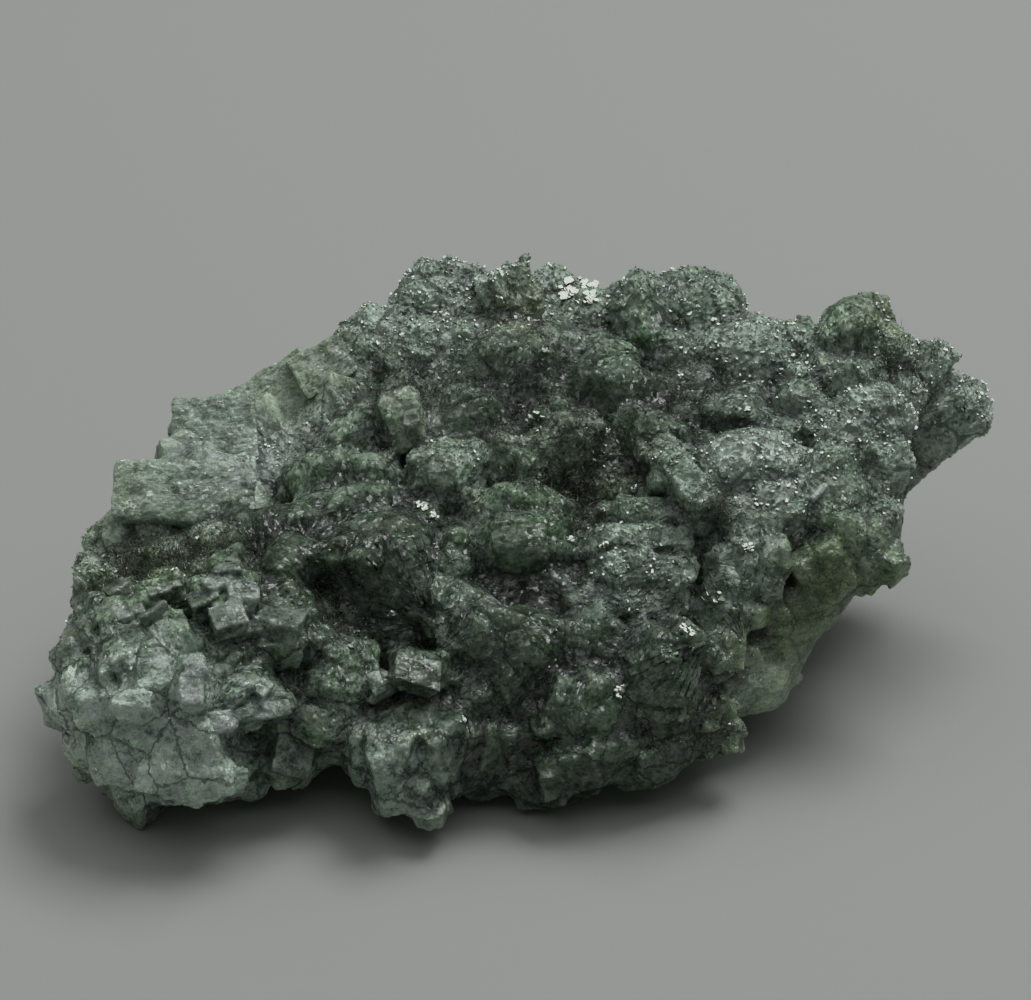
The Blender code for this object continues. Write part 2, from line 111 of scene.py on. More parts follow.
# Base colours, as linear red, green and blue, then how frosted, how dusty and how smooth such a place is
TONES = {
    "dark_green": (0.006, 0.022, 0.006, 0.06, 0.08, 0.60),
    "mid_green": (0.034, 0.078, 0.032, 0.20, 0.20, 0.40),
    "grey_green": (0.088, 0.142, 0.092, 0.35, 0.55, 0.10),
    "dusty": (0.210, 0.275, 0.230, 0.30, 1.00, 0.00),
    "pale_frost": (0.155, 0.230, 0.172, 1.00, 0.25, 0.45),
    # Pale frost made brighter as painted glow, standing in for light through the stone on faces the lamps
    # hardly reach
    "frost_and_painted_glow": (0.560, 0.700, 0.580, 1.00, 0.20, 0.50),
    "glass_frost": (0.110, 0.170, 0.130, 0.55, 0.10, 1.00),
    "glass_green": (0.058, 0.100, 0.066, 0.30, 0.10, 1.00),
    "pale_dust": (0.330, 0.400, 0.360, 0.40, 1.00, 0.00),
    "crust": (0.400, 0.450, 0.425, 1.00, 1.00, 0.00),
    "white": (0.520, 0.590, 0.550, 1.00, 0.10, 0.80),
    "lime": (0.400, 0.520, 0.360, 0.35, 0.15, 1.00),
    "pale_green": (0.050, 0.090, 0.048, 0.25, 0.10, 1.00),
    "slab_lime": (0.270, 0.370, 0.285, 0.35, 0.10, 1.00),
    "yellow_green": (0.100, 0.150, 0.052, 0.03, 0.10, 0.85),
    "olive": (0.105, 0.130, 0.042, 0.05, 0.60, 0.00),
    "dark_olive": (0.034, 0.046, 0.014, 0.03, 0.45, 0.00),
    "brown_green": (0.110, 0.130, 0.052, 0.10, 0.30, 0.20),
    "clear": (0.020, 0.032, 0.018, 0.00, 0.00, 1.00),
}
# Tone of the pale edges, partly painted glow of light through thin edges and partly pale frost, also the
# tone of the veils of the clean faces; then the tones of frost and dust, and how much they cover
EDGE_TONE = (0.360, 0.450, 0.310, 1.0)
FROST_TONE = (0.600, 0.700, 0.640, 1.0)
DUST_TONE = (0.430, 0.500, 0.450, 1.0)
FROST_COVER = 0.85
DUST_COVER = 0.85

# The stone: how it bends, mirrors and scatters light
STONE_IOR = 1.62
MIRROR_LEVEL = 0.4
SCATTER_RADIUS = (0.7, 1.0, 0.65)
SCATTER_SCALE = 0.4 * MM

# Its large faces, its chips and its sugary grains: cells a millimetre, their shape along the axes of the
# crystal, and depth; then the same of the growth lines
FACE_CELLS = 0.6
CHIP_CELLS = 2.6
SUGAR_CELLS = 6.0
CELL_SHAPE = (1.4, 0.9, 0.65)
SUGAR_SHAPE = (1.0, 1.0, 1.0)
FACE_DEPTH = 0.7 * MM
CHIP_DEPTH = 0.4 * MM
SUGAR_DEPTH = 0.12 * MM
LINE_CELLS = (7.0, 0.6, 0.6)
LINE_BUMP = 0.2 * MM

# Waves a metre of its clouds, of the patches of frost, and of the veils on clean faces
CLOUD_SCALE = 320.0
PATCH_SCALE = 700.0
VEIL_SCALE = 1500.0
VEIL_BUMP = 0.05 * MM
HIDDEN_SIDE_TONE = "grey_green"
HIDDEN_SIDE_STRENGTH = 0.12

# The side that the picture doesn't show: how deep behind the seen side it lies, and its patches of tone
HIDDEN_DEPTH = 10.0 * MM
HIDDEN_TONES = ("dark_green", "mid_green", "grey_green", "dusty", "yellow_green", "pale_frost", "mid_green")
HIDDEN_PATCH_SPACING = 8.0 * MM
HIDDEN_PATCH_RADIUS = (3.0 * MM, 6.0 * MM)
HIDDEN_PATCH_STRENGTH = (0.6, 1.6)

# name: (pixel, radius in mm, tone, strength)
REGIONS = {
    "left ball": ((155, 730), 8.0, "pale_frost", 1.2),
    "left frost patch": ((160, 658), 2.4, "pale_frost", 3.0),
    "left frost face": ((135, 705), 4.5, "pale_frost", 3.0),
    "left shoulder green": ((90, 665), 3.5, "mid_green", 2.4),
    # The left ball's lower faces: frost with painted glow, for light through the stone where the lamps
    # hardly reach
    "left frost foot": ((160, 755), 5.0, "frost_and_painted_glow", 3.4),
    "left frost middle": ((185, 725), 3.0, "frost_and_painted_glow", 2.0),
    "left frost edge": ((95, 725), 5.0, "frost_and_painted_glow", 4.2),
    "left low lime": ((110, 752), 3.0, "lime", 2.4),
    "left brown lobe": ((75, 760), 3.5, "brown_green", 1.6),
    "left brow": ((105, 620), 5.0, "mid_green", 4.0),
    "bright fan": ((240, 685), 3.0, "mid_green", 2.0),
    "fan tip": ((262, 692), 1.2, "pale_frost", 4.0),
    "below the barrel": ((290, 680), 3.5, "dark_green", 2.0),
    "left toes": ((170, 800), 4.5, "mid_green", 1.6),
    "combed fan": ((195, 760), 3.0, "mid_green", 2.4),
    "hanging block": ((290, 755), 3.0, "mid_green", 1.6),
    "rough ledge": ((140, 560), 4.5, "olive", 2.0),
    "ledge edge": ((88, 560), 3.5, "grey_green", 3.0),
    "below the slab": ((150, 524), 2.0, "grey_green", 3.0),
    "rough mound": ((220, 545), 4.0, "dark_olive", 2.4),
    "left of the fan": ((295, 530), 5.0, "dark_green", 5.0),
    "cubes": ((228, 600), 4.5, "mid_green", 3.5),
    "barrel block": ((295, 635), 4.0, "dark_green", 4.0),
    "blue bump": ((285, 572), 3.0, "mid_green", 1.6),
    "dark fan": ((385, 575), 6.5, "dark_green", 6.0),
    "dark fan crest": ((400, 520), 4.0, "dark_green", 9.0),
    "dark ridge": ((350, 505), 2.6, "mid_green", 2.4),
    "laminate": ((335, 695), 4.5, "mid_green", 2.0),
    "laminate top": ((345, 665), 3.0, "grey_green", 2.4),
    "green block": ((417, 671), 2.5, "pale_green", 1.6),
    "green body": ((400, 640), 3.5, "mid_green", 2.4),
    "frosted ball": ((415, 755), 4.5, "pale_frost", 1.8),
    "frosted ball top": ((405, 715), 3.0, "dark_green", 3.0),
    "frosted flank": ((365, 742), 2.5, "pale_frost", 2.4),
    "cap top": ((520, 510), 4.5, "mid_green", 4.0),
    "cap front": ((525, 562), 4.5, "dark_green", 5.0),
    "cap left": ((455, 555), 3.5, "mid_green", 2.0),
    # Dark tone in the gap under the cap: painted shade
    "gap below the cap": ((505, 594), 2.2, "dark_green", 5.0),
    "striped fan": ((462, 625), 3.5, "grey_green", 1.6),
    "scallop lump": ((520, 650), 4.5, "dark_green", 2.6),
    "apron": ((465, 708), 6.0, "dark_green", 6.0),
    "bottom dark": ((520, 770), 5.5, "dark_green", 5.0),
    "side lump": ((590, 660), 4.0, "dark_green", 3.0),
    "twin lump": ((592, 712), 4.5, "mid_green", 3.0),
    "twin foot": ((590, 755), 4.5, "dark_green", 2.2),
    "grid lump": ((660, 675), 5.5, "dark_green", 3.6),
    "grid foot": ((695, 720), 3.5, "dark_olive", 1.8),
    "low corner": ((655, 765), 4.0, "dark_green", 2.0),
    "dust ledge": ((640, 558), 4.5, "dusty", 2.2),
    "ledge top": ((650, 520), 2.6, "mid_green", 3.0),
    "felt hollow": ((580, 480), 5.0, "dark_olive", 2.4),
    "ridge blade": ((690, 495), 3.0, "grey_green", 2.2),
    "shoulder": ((565, 450), 4.0, "grey_green", 1.6),
    "left shoulder": ((445, 475), 4.5, "grey_green", 1.8),
    "long dust": ((335, 465), 4.5, "mid_green", 4.0),
    "left ridge": ((375, 425), 4.0, "grey_green", 1.6),
    "pale knob": ((405, 420), 2.5, "lime", 1.6),
    "dusty mound": ((762, 478), 4.0, "pale_dust", 4.0),
    "above the mound": ((740, 415), 4.0, "dark_green", 2.6),
    # The layer ball's pale tone is painted highlight, standing in for the glints on it
    "layer ball": ((742, 562), 3.6, "pale_frost", 3.0),
    "smooth body": ((785, 610), 5.0, "yellow_green", 3.2),
    "lime lump": ((757, 675), 3.5, "lime", 1.6),
    "right edge": ((875, 530), 4.0, "mid_green", 1.5),
    "right lump": ((835, 560), 4.0, "yellow_green", 1.8),
    "right of the mound": ((850, 470), 3.2, "mid_green", 3.0),
    "above the layer ball": ((752, 522), 3.0, "dark_green", 5.0),
    "rod mound": ((828, 500), 4.0, "grey_green", 1.5),
    "right ball": ((870, 430), 5.0, "dusty", 3.0),
    "high ball": ((860, 325), 4.5, "mid_green", 1.8),
    "olive edge": ((892, 325), 2.5, "olive", 2.0),
    "right mass": ((945, 405), 5.5, "dusty", 4.0),
    "right keel": ((930, 450), 4.0, "mid_green", 1.8),
    "top slope": ((440, 295), 6.0, "dusty", 3.5),
    "olive block": ((520, 312), 3.0, "olive", 2.0),
    "glint lump": ((592, 310), 4.0, "grey_green", 1.6),
    "back lumps": ((640, 320), 4.0, "mid_green", 2.0),
    "big mound": ((700, 295), 5.0, "grey_green", 2.0),
    "dusty slope": ((745, 350), 4.5, "dusty", 2.6),
    # The dark field's tone is partly painted shade, partly the dark rough stone
    "dark field": ((500, 375), 6.0, "dark_green", 1.6),
    "right of the field": ((600, 375), 4.5, "dark_green", 2.0),
    # Dark tone in the recess: painted shade
    "dark recess": ((690, 405), 4.5, "dark_green", 3.0),
    "dust ridge": ((430, 350), 4.5, "grey_green", 1.6),
    "left field": ((345, 412), 5.0, "dark_green", 3.0),
    "slab crust": ((243, 474), 1.8, "crust", 20.0),
    "slab crust high": ((262, 450), 1.8, "crust", 12.0),
    "face crust": ((322, 425), 1.8, "crust", 3.0),
    "pale slab": ((185, 490), 4.2, "slab_lime", 9.0),
    "pale slab tip": ((128, 495), 2.8, "lime", 9.0),
    "pale cube": ((212, 430), 3.8, "slab_lime", 12.0),
    "pale face": ((294, 388), 3.5, "lime", 12.0),
    "pale crest": ((350, 345), 3.0, "grey_green", 2.0),
}

# Fans of plates: name: (pixel, half sizes along the stack, across and out in mm, spin, tone)
FANS = {
    "bright fan": ((240, 684), (3.2, 3.2, 3.2), -38, "pale_frost"),
    "left toe": ((132, 785), (4.2, 2.8, 2.8), 8, "mid_green"),
    "middle toe": ((192, 785), (4.4, 2.8, 3.0), -4, "mid_green"),
    "right toe": ((242, 770), (3.2, 3.0, 3.0), -10, "mid_green"),
    "barrel block": ((278, 621), (2.8, 2.8, 2.6), 14, "grey_green"),
    "laminate top": ((340, 662), (2.6, 2.9, 3.2), 84, "mid_green"),
    "laminate low": ((336, 706), (3.2, 3.2, 3.2), 78, "dark_green"),
    "layer ball": ((742, 573), (4.4, 3.8, 4.0), 86, "mid_green"),
    "lime lump": ((757, 676), (3.0, 3.2, 3.2), 14, "lime"),
}

# Rounded lumps, as the camera sees them: name: (pixel, half width, height and depth in mm, turn in degrees,
# how far the lump stands out of the solid in mm)
DOMES = {
    "cap": ((518, 545), (4.8, 4.0, 4.3), 0, 0.5),
    "cap left top": ((494, 520), (2.8, 2.3, 2.8), 15, 0.5),
    "cap right side": ((550, 530), (2.4, 2.8, 2.8), -10, 0.6),
    "frosted ball": ((415, 752), (4.9, 4.6, 4.5), 0, 0.4),
    "dark fan": ((384, 572), (5.6, 5.4, 4.6), -20, 1.4),
    "bottom lump": ((512, 765), (4.6, 2.8, 3.2), 0, 0.6),
    "green body": ((402, 634), (3.0, 2.4, 3.0), 0, 1.6),
    "scallop lump": ((522, 650), (4.2, 3.8, 4.0), 0, 0.5),
    "side lump": ((592, 645), (3.0, 3.6, 3.5), 0, 0.5),
    "striped fan": ((460, 622), (3.6, 3.4, 3.3), 30, 0.5),
    "twin lump": ((592, 712), (4.2, 3.6, 3.8), 0, 0.5),
    "grid lump": ((660, 680), (4.6, 4.6, 4.0), 0, 0.5),
    "low corner": ((648, 758), (3.4, 3.0, 3.0), 0, 0.3),
    "dust ledge": ((640, 552), (5.2, 3.6, 3.5), 8, 0.5),
    "layer ball": ((742, 568), (3.8, 4.4, 4.0), 0, 0.5),
    "smooth body": ((792, 612), (3.3, 5.0, 4.0), -25, 0.4),
    "lime lump": ((757, 678), (3.4, 3.4, 3.4), 0, 0.4),
    "laminate": ((335, 690), (3.4, 4.6, 3.6), 0, 0.4),
    "blue bump": ((285, 572), (2.6, 3.6, 3.0), -10, 0.5),
    "rough mound": ((218, 547), (3.4, 2.8, 3.0), 0, 0.5),
    "left shoulder": ((445, 475), (3.6, 3.0, 3.0), 0, 0.4),
    "shoulder": ((565, 448), (3.2, 2.8, 3.0), 0, 0.4),
    "left ridge": ((375, 425), (4.0, 2.8, 3.0), 15, 0.4),
    "mound": ((745, 465), (5.0, 3.4, 3.5), 15, 0.5),
    "rod mound": ((830, 500), (4.0, 3.8, 3.5), 0, 0.5),
    "right ball": ((868, 430), (4.0, 3.6, 4.0), 0, 0.5),
    "high ball": ((858, 330), (2.8, 3.4, 3.0), 0, 0.3),
    "dusty slope": ((745, 355), (4.5, 3.2, 3.0), 0, 0.4),
    "big mound": ((700, 305), (4.6, 3.4, 3.6), 0, 0.4),
    "glint lump": ((590, 316), (3.8, 2.8, 3.2), 0, 0.4),
    "top slope": ((440, 305), (4.4, 3.4, 3.4), 0, 0.3),
}

# The skin of the body: voxels of its making, its number of triangles, and the planes that part it
BODY_VOXEL = 0.2 * MM
BODY_TRIANGLES = 540000
BODY_PARTS = {
    "crystals_left": (-1.0, -14.0 * MM),
    "crystals_middle": (-14.0 * MM, 11.0 * MM),
    "crystals_right": (11.0 * MM, 1.0),
}

# Heights above the table under which nothing is moved, so that the cluster rests as the solid does
FLAT_FOOT = 0.25 * MM
ROUND_FOOT = 0.5 * MM
BLOCK_FOOT = 0.8 * MM
FILL_FOOT = 1.0 * MM

# Patches in which the crystals lie alike, with lines along the slope where a patch is smoother than this
PATCH_SPACING = 5.0 * MM
SMOOTH_PATCH = 0.6

# The blocky crystals that stand out of the solid: (spacing, half sizes, how far they rise at least and at
# most, how far their axes tilt)
BLOCK_SIZES = (
    (3.0 * MM, (0.95 * MM, 1.4 * MM, 1.4 * MM), (-0.3 * MM, 0.25 * MM), 0.3),
    (1.5 * MM, (0.45 * MM, 0.62 * MM, 0.75 * MM), (-0.05 * MM, 0.2 * MM), 0.5),
)
SURFACE_SAMPLES = 60000

# Plates of the named fans
PLATE_PITCH = 1.3 * MM
BLADE_WIDTH = 2.6 * MM
FAN_RISE = 0.55 * MM
FAN_SPLAY = 0.35

# The little flat faces of what is granular
FACET_SPACING = 0.42 * MM
FACET_TILT = 0.5
FACET_STEP = 0.12 * MM

# How many times the skin is evened out to find its edges and its hollows, and how deep these are; the edges
# feed the painted glow on edges, the hollows the painted shade in them
EDGE_SPANS = ((3, 0.03 * MM), (14, 0.11 * MM))
HOLLOW_ROUNDS = 60
HOLLOW_DEPTH = 0.45 * MM
HOLLOW_FILL = 0.4

# Growth lines: how far the skin moves in and out across them, and the shortest and longest of their steps
LINE_DEPTH = 0.02 * MM
LINE_STEPS = (0.45 * MM, 2.2 * MM)
LINE_WAVES = 7

# Glittering grains on what faces up
GRAIN_SPACING = 0.46 * MM
GRAIN_SIZE = 0.085 * MM
GRAIN_RISE = 0.04 * MM
GRAIN_TILT = 0.9
GRAIN_FOOT = 0.6 * MM

# Needles in the felted hollows: their number, lengths and half widths, how far they are strewn and rise, and
# the turns round the needle, in radians, at which its three edges lie
NEEDLE_COUNT = 16000
NEEDLE_LENGTHS = (0.4 * MM, 1.1 * MM)
NEEDLE_WIDTHS = (0.02 * MM, 0.045 * MM)
NEEDLE_STREW = 0.25 * MM
NEEDLE_RISE = 0.1 * MM
NEEDLE_TURNS = (0.0, 2.094, 4.189)

# The crystals that are placed one by one: the skin that joins them, how far they stand out, how far they
# turn up to the light and lean at random, and how worn they are
SINGLE_VOXEL = 0.13 * MM
SINGLE_TRIANGLES = 60000
SINGLE_RISE = 0.9 * MM
SLAB_RISE = 0.8 * MM
LIFT = Vector((0.0, 0.0, 0.5))
SINGLE_LEAN = 0.2
SINGLE_WEAR = 0.7
SLAB_WEAR = 1.1

# How many times a skin is evened out where it is rough, where it is smooth and on single crystals, and the
# rounded swellings that follow: their spacing and height, and the shares of it that they rise and sink by
ROUNDING = 3
SMOOTH_ROUNDING = 12
SINGLE_ROUNDING = 6
SWELLINGS = ((2.4 * MM, 0.28 * MM), (1.0 * MM, 0.12 * MM))
SWELL_TOP = 0.3
SWELL_CREASE = -0.4

# Roughness of the broken stone: its widest waves and its depth, how fast the finer waves get lower and
# narrower, and how many there are
ROUGH_WIDTH = 1.3 * MM
ROUGH_DEPTH = 0.16 * MM
ROUGH_FADE = 0.9
ROUGH_STEP = 2.1
ROUGH_WAVES = 5

# name: (pixel, radius in mm, share of the needles)
NEEDLE_MATS = {
    "rough ledge": ((145, 560), 3.6, 0.18),
    "rough mound": ((215, 540), 4.0, 0.12),
    "felt hollow": ((570, 480), 5.5, 0.2),
    "right of the blade": ((720, 500), 3.0, 0.06),
    "dark field": ((500, 385), 6.0, 0.14),
    "behind the ridge": ((400, 385), 3.5, 0.06),
    "under the dark fan": ((330, 620), 3.5, 0.06),
    "dark recess": ((690, 395), 4.0, 0.06),
    "right crest": ((900, 380), 4.0, 0.08),
}

# Single crystals: name: (pixel, half sizes along the stack, across and out, spin, tone)
SINGLE_CRYSTALS = {
    "white prism": ((192, 690), (1.1, 1.8, 1.2), 4, "white"),
    "white prism top": ((196, 669), (0.8, 1.2, 1.1), 34, "white"),
    "bright tip": ((262, 690), (0.8, 1.3, 1.0), -30, "pale_frost"),
    "long blade": ((248, 714), (3.8, 0.9, 1.3), 14, "glass_frost"),
    "small lens": ((222, 731), (1.3, 0.4, 0.9), 18, "white"),
    "cube left": ((204, 600), (1.4, 1.4, 1.2), 24, "glass_green"),
    "cube right": ((242, 594), (1.5, 1.4, 1.3), 4, "glass_frost"),
    "cube back": ((228, 573), (1.3, 1.1, 1.1), 6, "glass_green"),
    "cube front": ((228, 618), (1.6, 1.5, 1.3), 20, "glass_frost"),
    "cube far left": ((186, 612), (1.0, 1.2, 1.0), 24, "glass_green"),
    "cube between": ((215, 586), (1.1, 1.1, 1.0), 30, "glass_frost"),
    "cube low": ((247, 631), (1.4, 1.0, 1.0), 16, "glass_green"),
    "cube ledge": ((118, 592), (1.2, 1.3, 1.0), 28, "glass_green"),
    "cube ledge low": ((130, 614), (1.4, 1.2, 1.0), 22, "glass_frost"),
    "barrel block": ((281, 622), (2.2, 2.0, 1.7), -14, "glass_green"),
    "rod high": ((164, 593), (1.8, 0.7, 0.8), 34, "glass_green"),
    "rod low": ((155, 615), (1.5, 0.6, 0.8), 30, "glass_green"),
    "hanging block": ((291, 757), (1.9, 1.9, 1.4), -12, "glass_green"),
    "splinter": ((376, 684), (0.7, 1.3, 0.9), 20, "glass_frost"),
    "green block": ((417, 671), (2.2, 1.7, 1.3), -4, "pale_green"),
    "white rod": ((818, 493), (1.1, 0.35, 0.7), 46, "white"),
    "pale knob": ((412, 420), (0.9, 1.9, 1.0), 4, "pale_green"),
}

# Fans of thin blades: name: (pixel of the hub, first and last angle in the picture in degrees, number of
# blades, length in mm, tone)
BLADE_FANS = {
    "dark fan": ((434, 624), 92, 192, 20, 8.6, "dark_green"),
    "bright fan": ((207, 712), -4, 66, 11, 5.2, "glass_frost"),
    "striped fan": ((436, 652), 10, 88, 10, 4.6, "glass_green"),
    "grid lump": ((706, 640), 196, 256, 11, 8.0, "mid_green"),
    "layer ball": ((742, 640), 55, 128, 11, 8.6, "glass_green"),
}
BLADE_SEGMENTS = 6
BLADE_RISE = 0.11 * MM
BLADE_THICKNESS = (0.42, 0.6)
BLADE_HEIGHTS = (0.35, 0.55)

# Pale slabs that face the light: name: (pixel, half sizes along, up and out in mm, spin)
SLAB_FACING = Vector((-0.05, -0.66, 0.75)).normalized()
SLABS = {
    "long slab": ((184, 494), (6.5, 3.0, 1.6), -3),
    "back slab": ((215, 430), (4.0, 3.3, 1.5), 6),
    "far face": ((290, 393), (3.2, 3.4, 1.3), 32),
    "far face top": ((322, 368), (2.8, 2.4, 1.3), 30),
}

# Little faces that send the window's light to the camera, in groups and as single sparkles
GLINT_RISE = 0.12 * MM
GLINT_FACES = 15
GLINT_SPREAD = 0.32
GLINT_WIDTHS = (0.12, 0.38)
GLINT_TILT = 0.05
SPARKLES = 1800
SPARKLE_SIZE = (0.05 * MM, 0.16 * MM)
SPARKLE_SPACING = 0.6 * MM
SPARKLE_TILT = 0.09
FACE_LENGTHS = (0.8, 2.0)

# The groups: name: (pixel, half width in mm)
GLINTS = {
    "fan crest": ((424, 505), 0.75),
    "fan crest low": ((433, 516), 0.45),
    "cap top": ((533, 421), 0.9),
    "top lump": ((570, 290), 1.2),
    "top lump right": ((588, 283), 1.0),
    "top lump low": ((592, 300), 1.0),
    "layer ball high": ((748, 548), 0.6),
    "layer ball low": ((712, 600), 1.1),
    "grid lump": ((686, 630), 0.7),
    "twin lump": ((621, 692), 0.8),
    "twin lump right": ((641, 714), 0.5),
    "below the fan": ((391, 614), 0.5),
    "cube": ((240, 584), 0.6),
    "cap right": ((571, 541), 0.5),
    "cap far right": ((606, 546), 0.55),
    "felt": ((634, 490), 0.5),
    "shoulder": ((608, 432), 0.35),
    "mound": ((747, 410), 0.4),
    "recess": ((680, 376), 0.35),
    "far field": ((545, 352), 0.35),
    "frosted ball": ((462, 720), 0.35),
    "low lens": ((222, 730), 0.4),
}


def camera_axes():
    away = Vector((0.0, math.cos(VIEW_ELEVATION), -math.sin(VIEW_ELEVATION)))
    up = Vector((0.0, math.sin(VIEW_ELEVATION), math.cos(VIEW_ELEVATION)))
    return away, up


def seen_at(surface, pixel):
    """The point of the solid that the picture shows at that pixel, and its normal."""
    away, up = camera_axes()
    across = (pixel[0] - PICTURE_SIZE[0] / 2) / PIXELS_PER_MM * MM
    rise = (PICTURE_SIZE[1] / 2 - pixel[1]) / PIXELS_PER_MM * MM
    eye = VIEW_TARGET - away * VIEW_DISTANCE
    direction = (VIEW_TARGET + Vector((across, 0.0, 0.0)) + up * rise - eye).normalized()
    place, normal, _, _ = surface.ray_cast(eye, direction)
    if place:
        return place, normal
    tries = [surface.find_nearest(eye + direction * step * MM) for step in MISSED_STEPS]
    place, normal, _, _ = min(tries, key=lambda found: found[3])
    return place, normal


def hidden(surface, place):
    """Whether the stone in the picture stands well in front of the place."""
    away, _ = camera_axes()
    eye = VIEW_TARGET - away * VIEW_DISTANCE
    front, _, _, _ = surface.ray_cast(eye, (place - eye).normalized())
    return front is not None and (place - front).length > HIDDEN_DEPTH


def growth_direction(place):
    """Away from the nearest point of the growth line."""
    feet = []
    for start, end in zip(GROWTH_LINE, GROWTH_LINE[1:]):
        along = end - start
        share = (place - start).dot(along) / along.length_squared
        feet.append(start + along * min(max(share, 0.0), 1.0))
    foot = min(feet, key=lambda point: (place - point).length)
    return (place - foot).normalized()


def crystal_axes(out, spin):
    right = Vector((1.0, 0.0, 0.0))
    right = (right - out * right.dot(out)).normalized()
    stack = Matrix.Rotation(math.radians(spin), 3, out) @ right
    return np.array((stack, out.cross(stack), out))


def normalised(vectors):
    return vectors / np.linalg.norm(vectors, axis=-1, keepdims=True)


class ToneMap:
    """Blends the tones of the named regions over the surface."""

    def __init__(self, surface, places, rng):
        regions = []
        for pixel, radius, tone, strength in REGIONS.values():
            regions.append((seen_at(surface, pixel)[0], radius * MM, TONES[tone], strength))
        for place in map(Vector, places[spread(places, HIDDEN_PATCH_SPACING, rng)]):
            if hidden(surface, place):
                tone = TONES[HIDDEN_TONES[rng.integers(len(HIDDEN_TONES))]]
                radius = rng.uniform(*HIDDEN_PATCH_RADIUS)
                regions.append((place, radius, tone, rng.uniform(*HIDDEN_PATCH_STRENGTH)))
        self.middles, self.radii, self.looks, self.strengths = (np.array(part) for part in zip(*regions))

    def at(self, points):
        """Red, green, blue, frost, dust and smoothness at each point."""
        total = np.full(len(points), HIDDEN_SIDE_STRENGTH)
        look = total[:, None] * np.array(TONES[HIDDEN_SIDE_TONE])
        for middle, radius, here, strength in zip(self.middles, self.radii, self.looks, self.strengths):
            distance = np.linalg.norm(points - middle, axis=1) / radius
            weight = strength * np.exp(-(distance**2))
            total = total + weight
            look = look + weight[:, None] * here
        return look / total[:, None]


def add_mesh(name, points, triangles, layers):
    """A flat-shaded mesh piece with its attributes, from whole arrays."""
    mesh = bpy.data.meshes.new(name)
    mesh.vertices.add(len(points))
    mesh.vertices.foreach_set("co", points.astype(np.float32).ravel())
    mesh.loops.add(triangles.size)
    mesh.loops.foreach_set("vertex_index", triangles.astype(np.int32).ravel())
    mesh.polygons.add(len(triangles))
    mesh.polygons.foreach_set("loop_start", np.arange(0, triangles.size, 3, dtype=np.int32))
    mesh.update(calc_edges=True)
    mesh.validate(clean_customdata=False)
    mesh.shade_flat()
    set_layers(mesh, layers)
    thing = bpy.data.objects.new(name, mesh)
    bpy.context.scene.collection.objects.link(thing)
    return thing


def look_layers(look, **others):
    """The layers of a look, and others that are added to them or stand in their place."""
    return {"tone": look[:, :3], "frost": look[:, 3], "dust": look[:, 4], "smooth": look[:, 5], **others}


def set_layers(mesh, layers):
    """Vertex attributes by name: one number or three a vertex."""
    for name, values in layers.items():
        kind = "FLOAT_VECTOR" if values.ndim == 2 else "FLOAT"
        attribute = mesh.attributes.new(name, kind, "POINT")
        field = "vector" if values.ndim == 2 else "value"
        attribute.data.foreach_set(field, values.astype(np.float32).ravel())


def spread(points, spacing, rng):
    """Indices of points that are about that far apart, in random order."""
    order = rng.permutation(len(points))
    cells = np.floor(points[order] / spacing).astype(np.int64)
    _, first = np.unique(cells, axis=0, return_index=True)
    return rng.permutation(order[first])


def turned_axes(outs, tilt, rng):
    """Random axes round each outward direction, tilted from it by up to about that much."""
    outs = normalised(outs + rng.normal(0.0, tilt, outs.shape))
    stack = normalised(np.cross(outs, rng.normal(size=outs.shape)))
    return np.stack((stack, np.cross(outs, stack), outs), axis=1)


def splayed(axes, angle):
    """The axes turned by an angle each round their middle axis."""
    stack, across, out = axes[:, 0], axes[:, 1], axes[:, 2]
    turn, level = np.sin(angle)[:, None], np.cos(angle)[:, None]
    return np.stack((stack * level - out * turn, across, out * level + stack * turn), axis=1)


# Outline of a plate in its across-out plane, from its root round its outer edge
PLATE_OUTLINE = np.array((
    (-0.75, -1.0), (0.75, -1.0), (1.0, 0.1), (0.9, 0.72),
    (0.42, 1.0), (-0.38, 1.0), (-0.92, 0.7), (-1.0, 0.1),
))

# Outline of a squarer block
BLOCK_OUTLINE = np.array((
    (-0.94, -1.0), (0.94, -1.0), (1.0, -0.9), (1.0, 0.86),
    (0.9, 1.0), (-0.9, 1.0), (-1.0, 0.86), (-1.0, -0.9),
))


def plate_triangles():
    count = len(PLATE_OUTLINE)
    faces = []
    for i in range(1, count - 1):
        faces.append((0, i + 1, i))
        faces.append((count, count + i, count + i + 1))
    for i in range(count):
        following = (i + 1) % count
        faces.append((i, following, count + following))
        faces.append((i, count + following, count + i))
    return np.array(faces)


def plates_mesh(centres, axes, halves, rng, wobble=0.1, wedge=0.2, shape=PLATE_OUTLINE):
    """Points and triangles of many plates, from arrays of centres, axes and half sizes."""
    count, corners = len(centres), len(PLATE_OUTLINE)
    outline = shape + rng.normal(0.0, wobble, (count, corners, 2))
    local = np.zeros((count, 2 * corners, 3))
    for side, sign in enumerate((-1.0, 1.0)):
        part = local[:, side * corners:(side + 1) * corners]
        part[..., 0] = sign * (1.0 - wedge + wedge * outline[..., 1])
        part[..., 1:] = outline * rng.uniform(1.0 - wobble * 2.5, 1.0, (count, 1, 2))
        part[..., 1:] += rng.normal(0.0, wobble * 0.7, (count, 1, 2))
    points = centres[:, None, :] + np.einsum("nvk,nkd->nvd", local * halves[:, None, :], axes)
    triangles = plate_triangles()[None] + (np.arange(count) * 2 * corners)[:, None, None]
    points = points.reshape(-1, 3)
    points[:, 2] = np.maximum(points[:, 2], 0.0)
    return points, triangles.reshape(-1, 3)


def mesh_arrays(mesh):
    """Points and triangles of a mesh."""
    points = np.zeros(len(mesh.vertices) * 3)
    mesh.vertices.foreach_get("co", points)
    mesh.calc_loop_triangles()
    triangles = np.zeros(len(mesh.loop_triangles) * 3, np.int32)
    mesh.loop_triangles.foreach_get("vertices", triangles)
    return points.reshape(-1, 3), triangles.reshape(-1, 3)


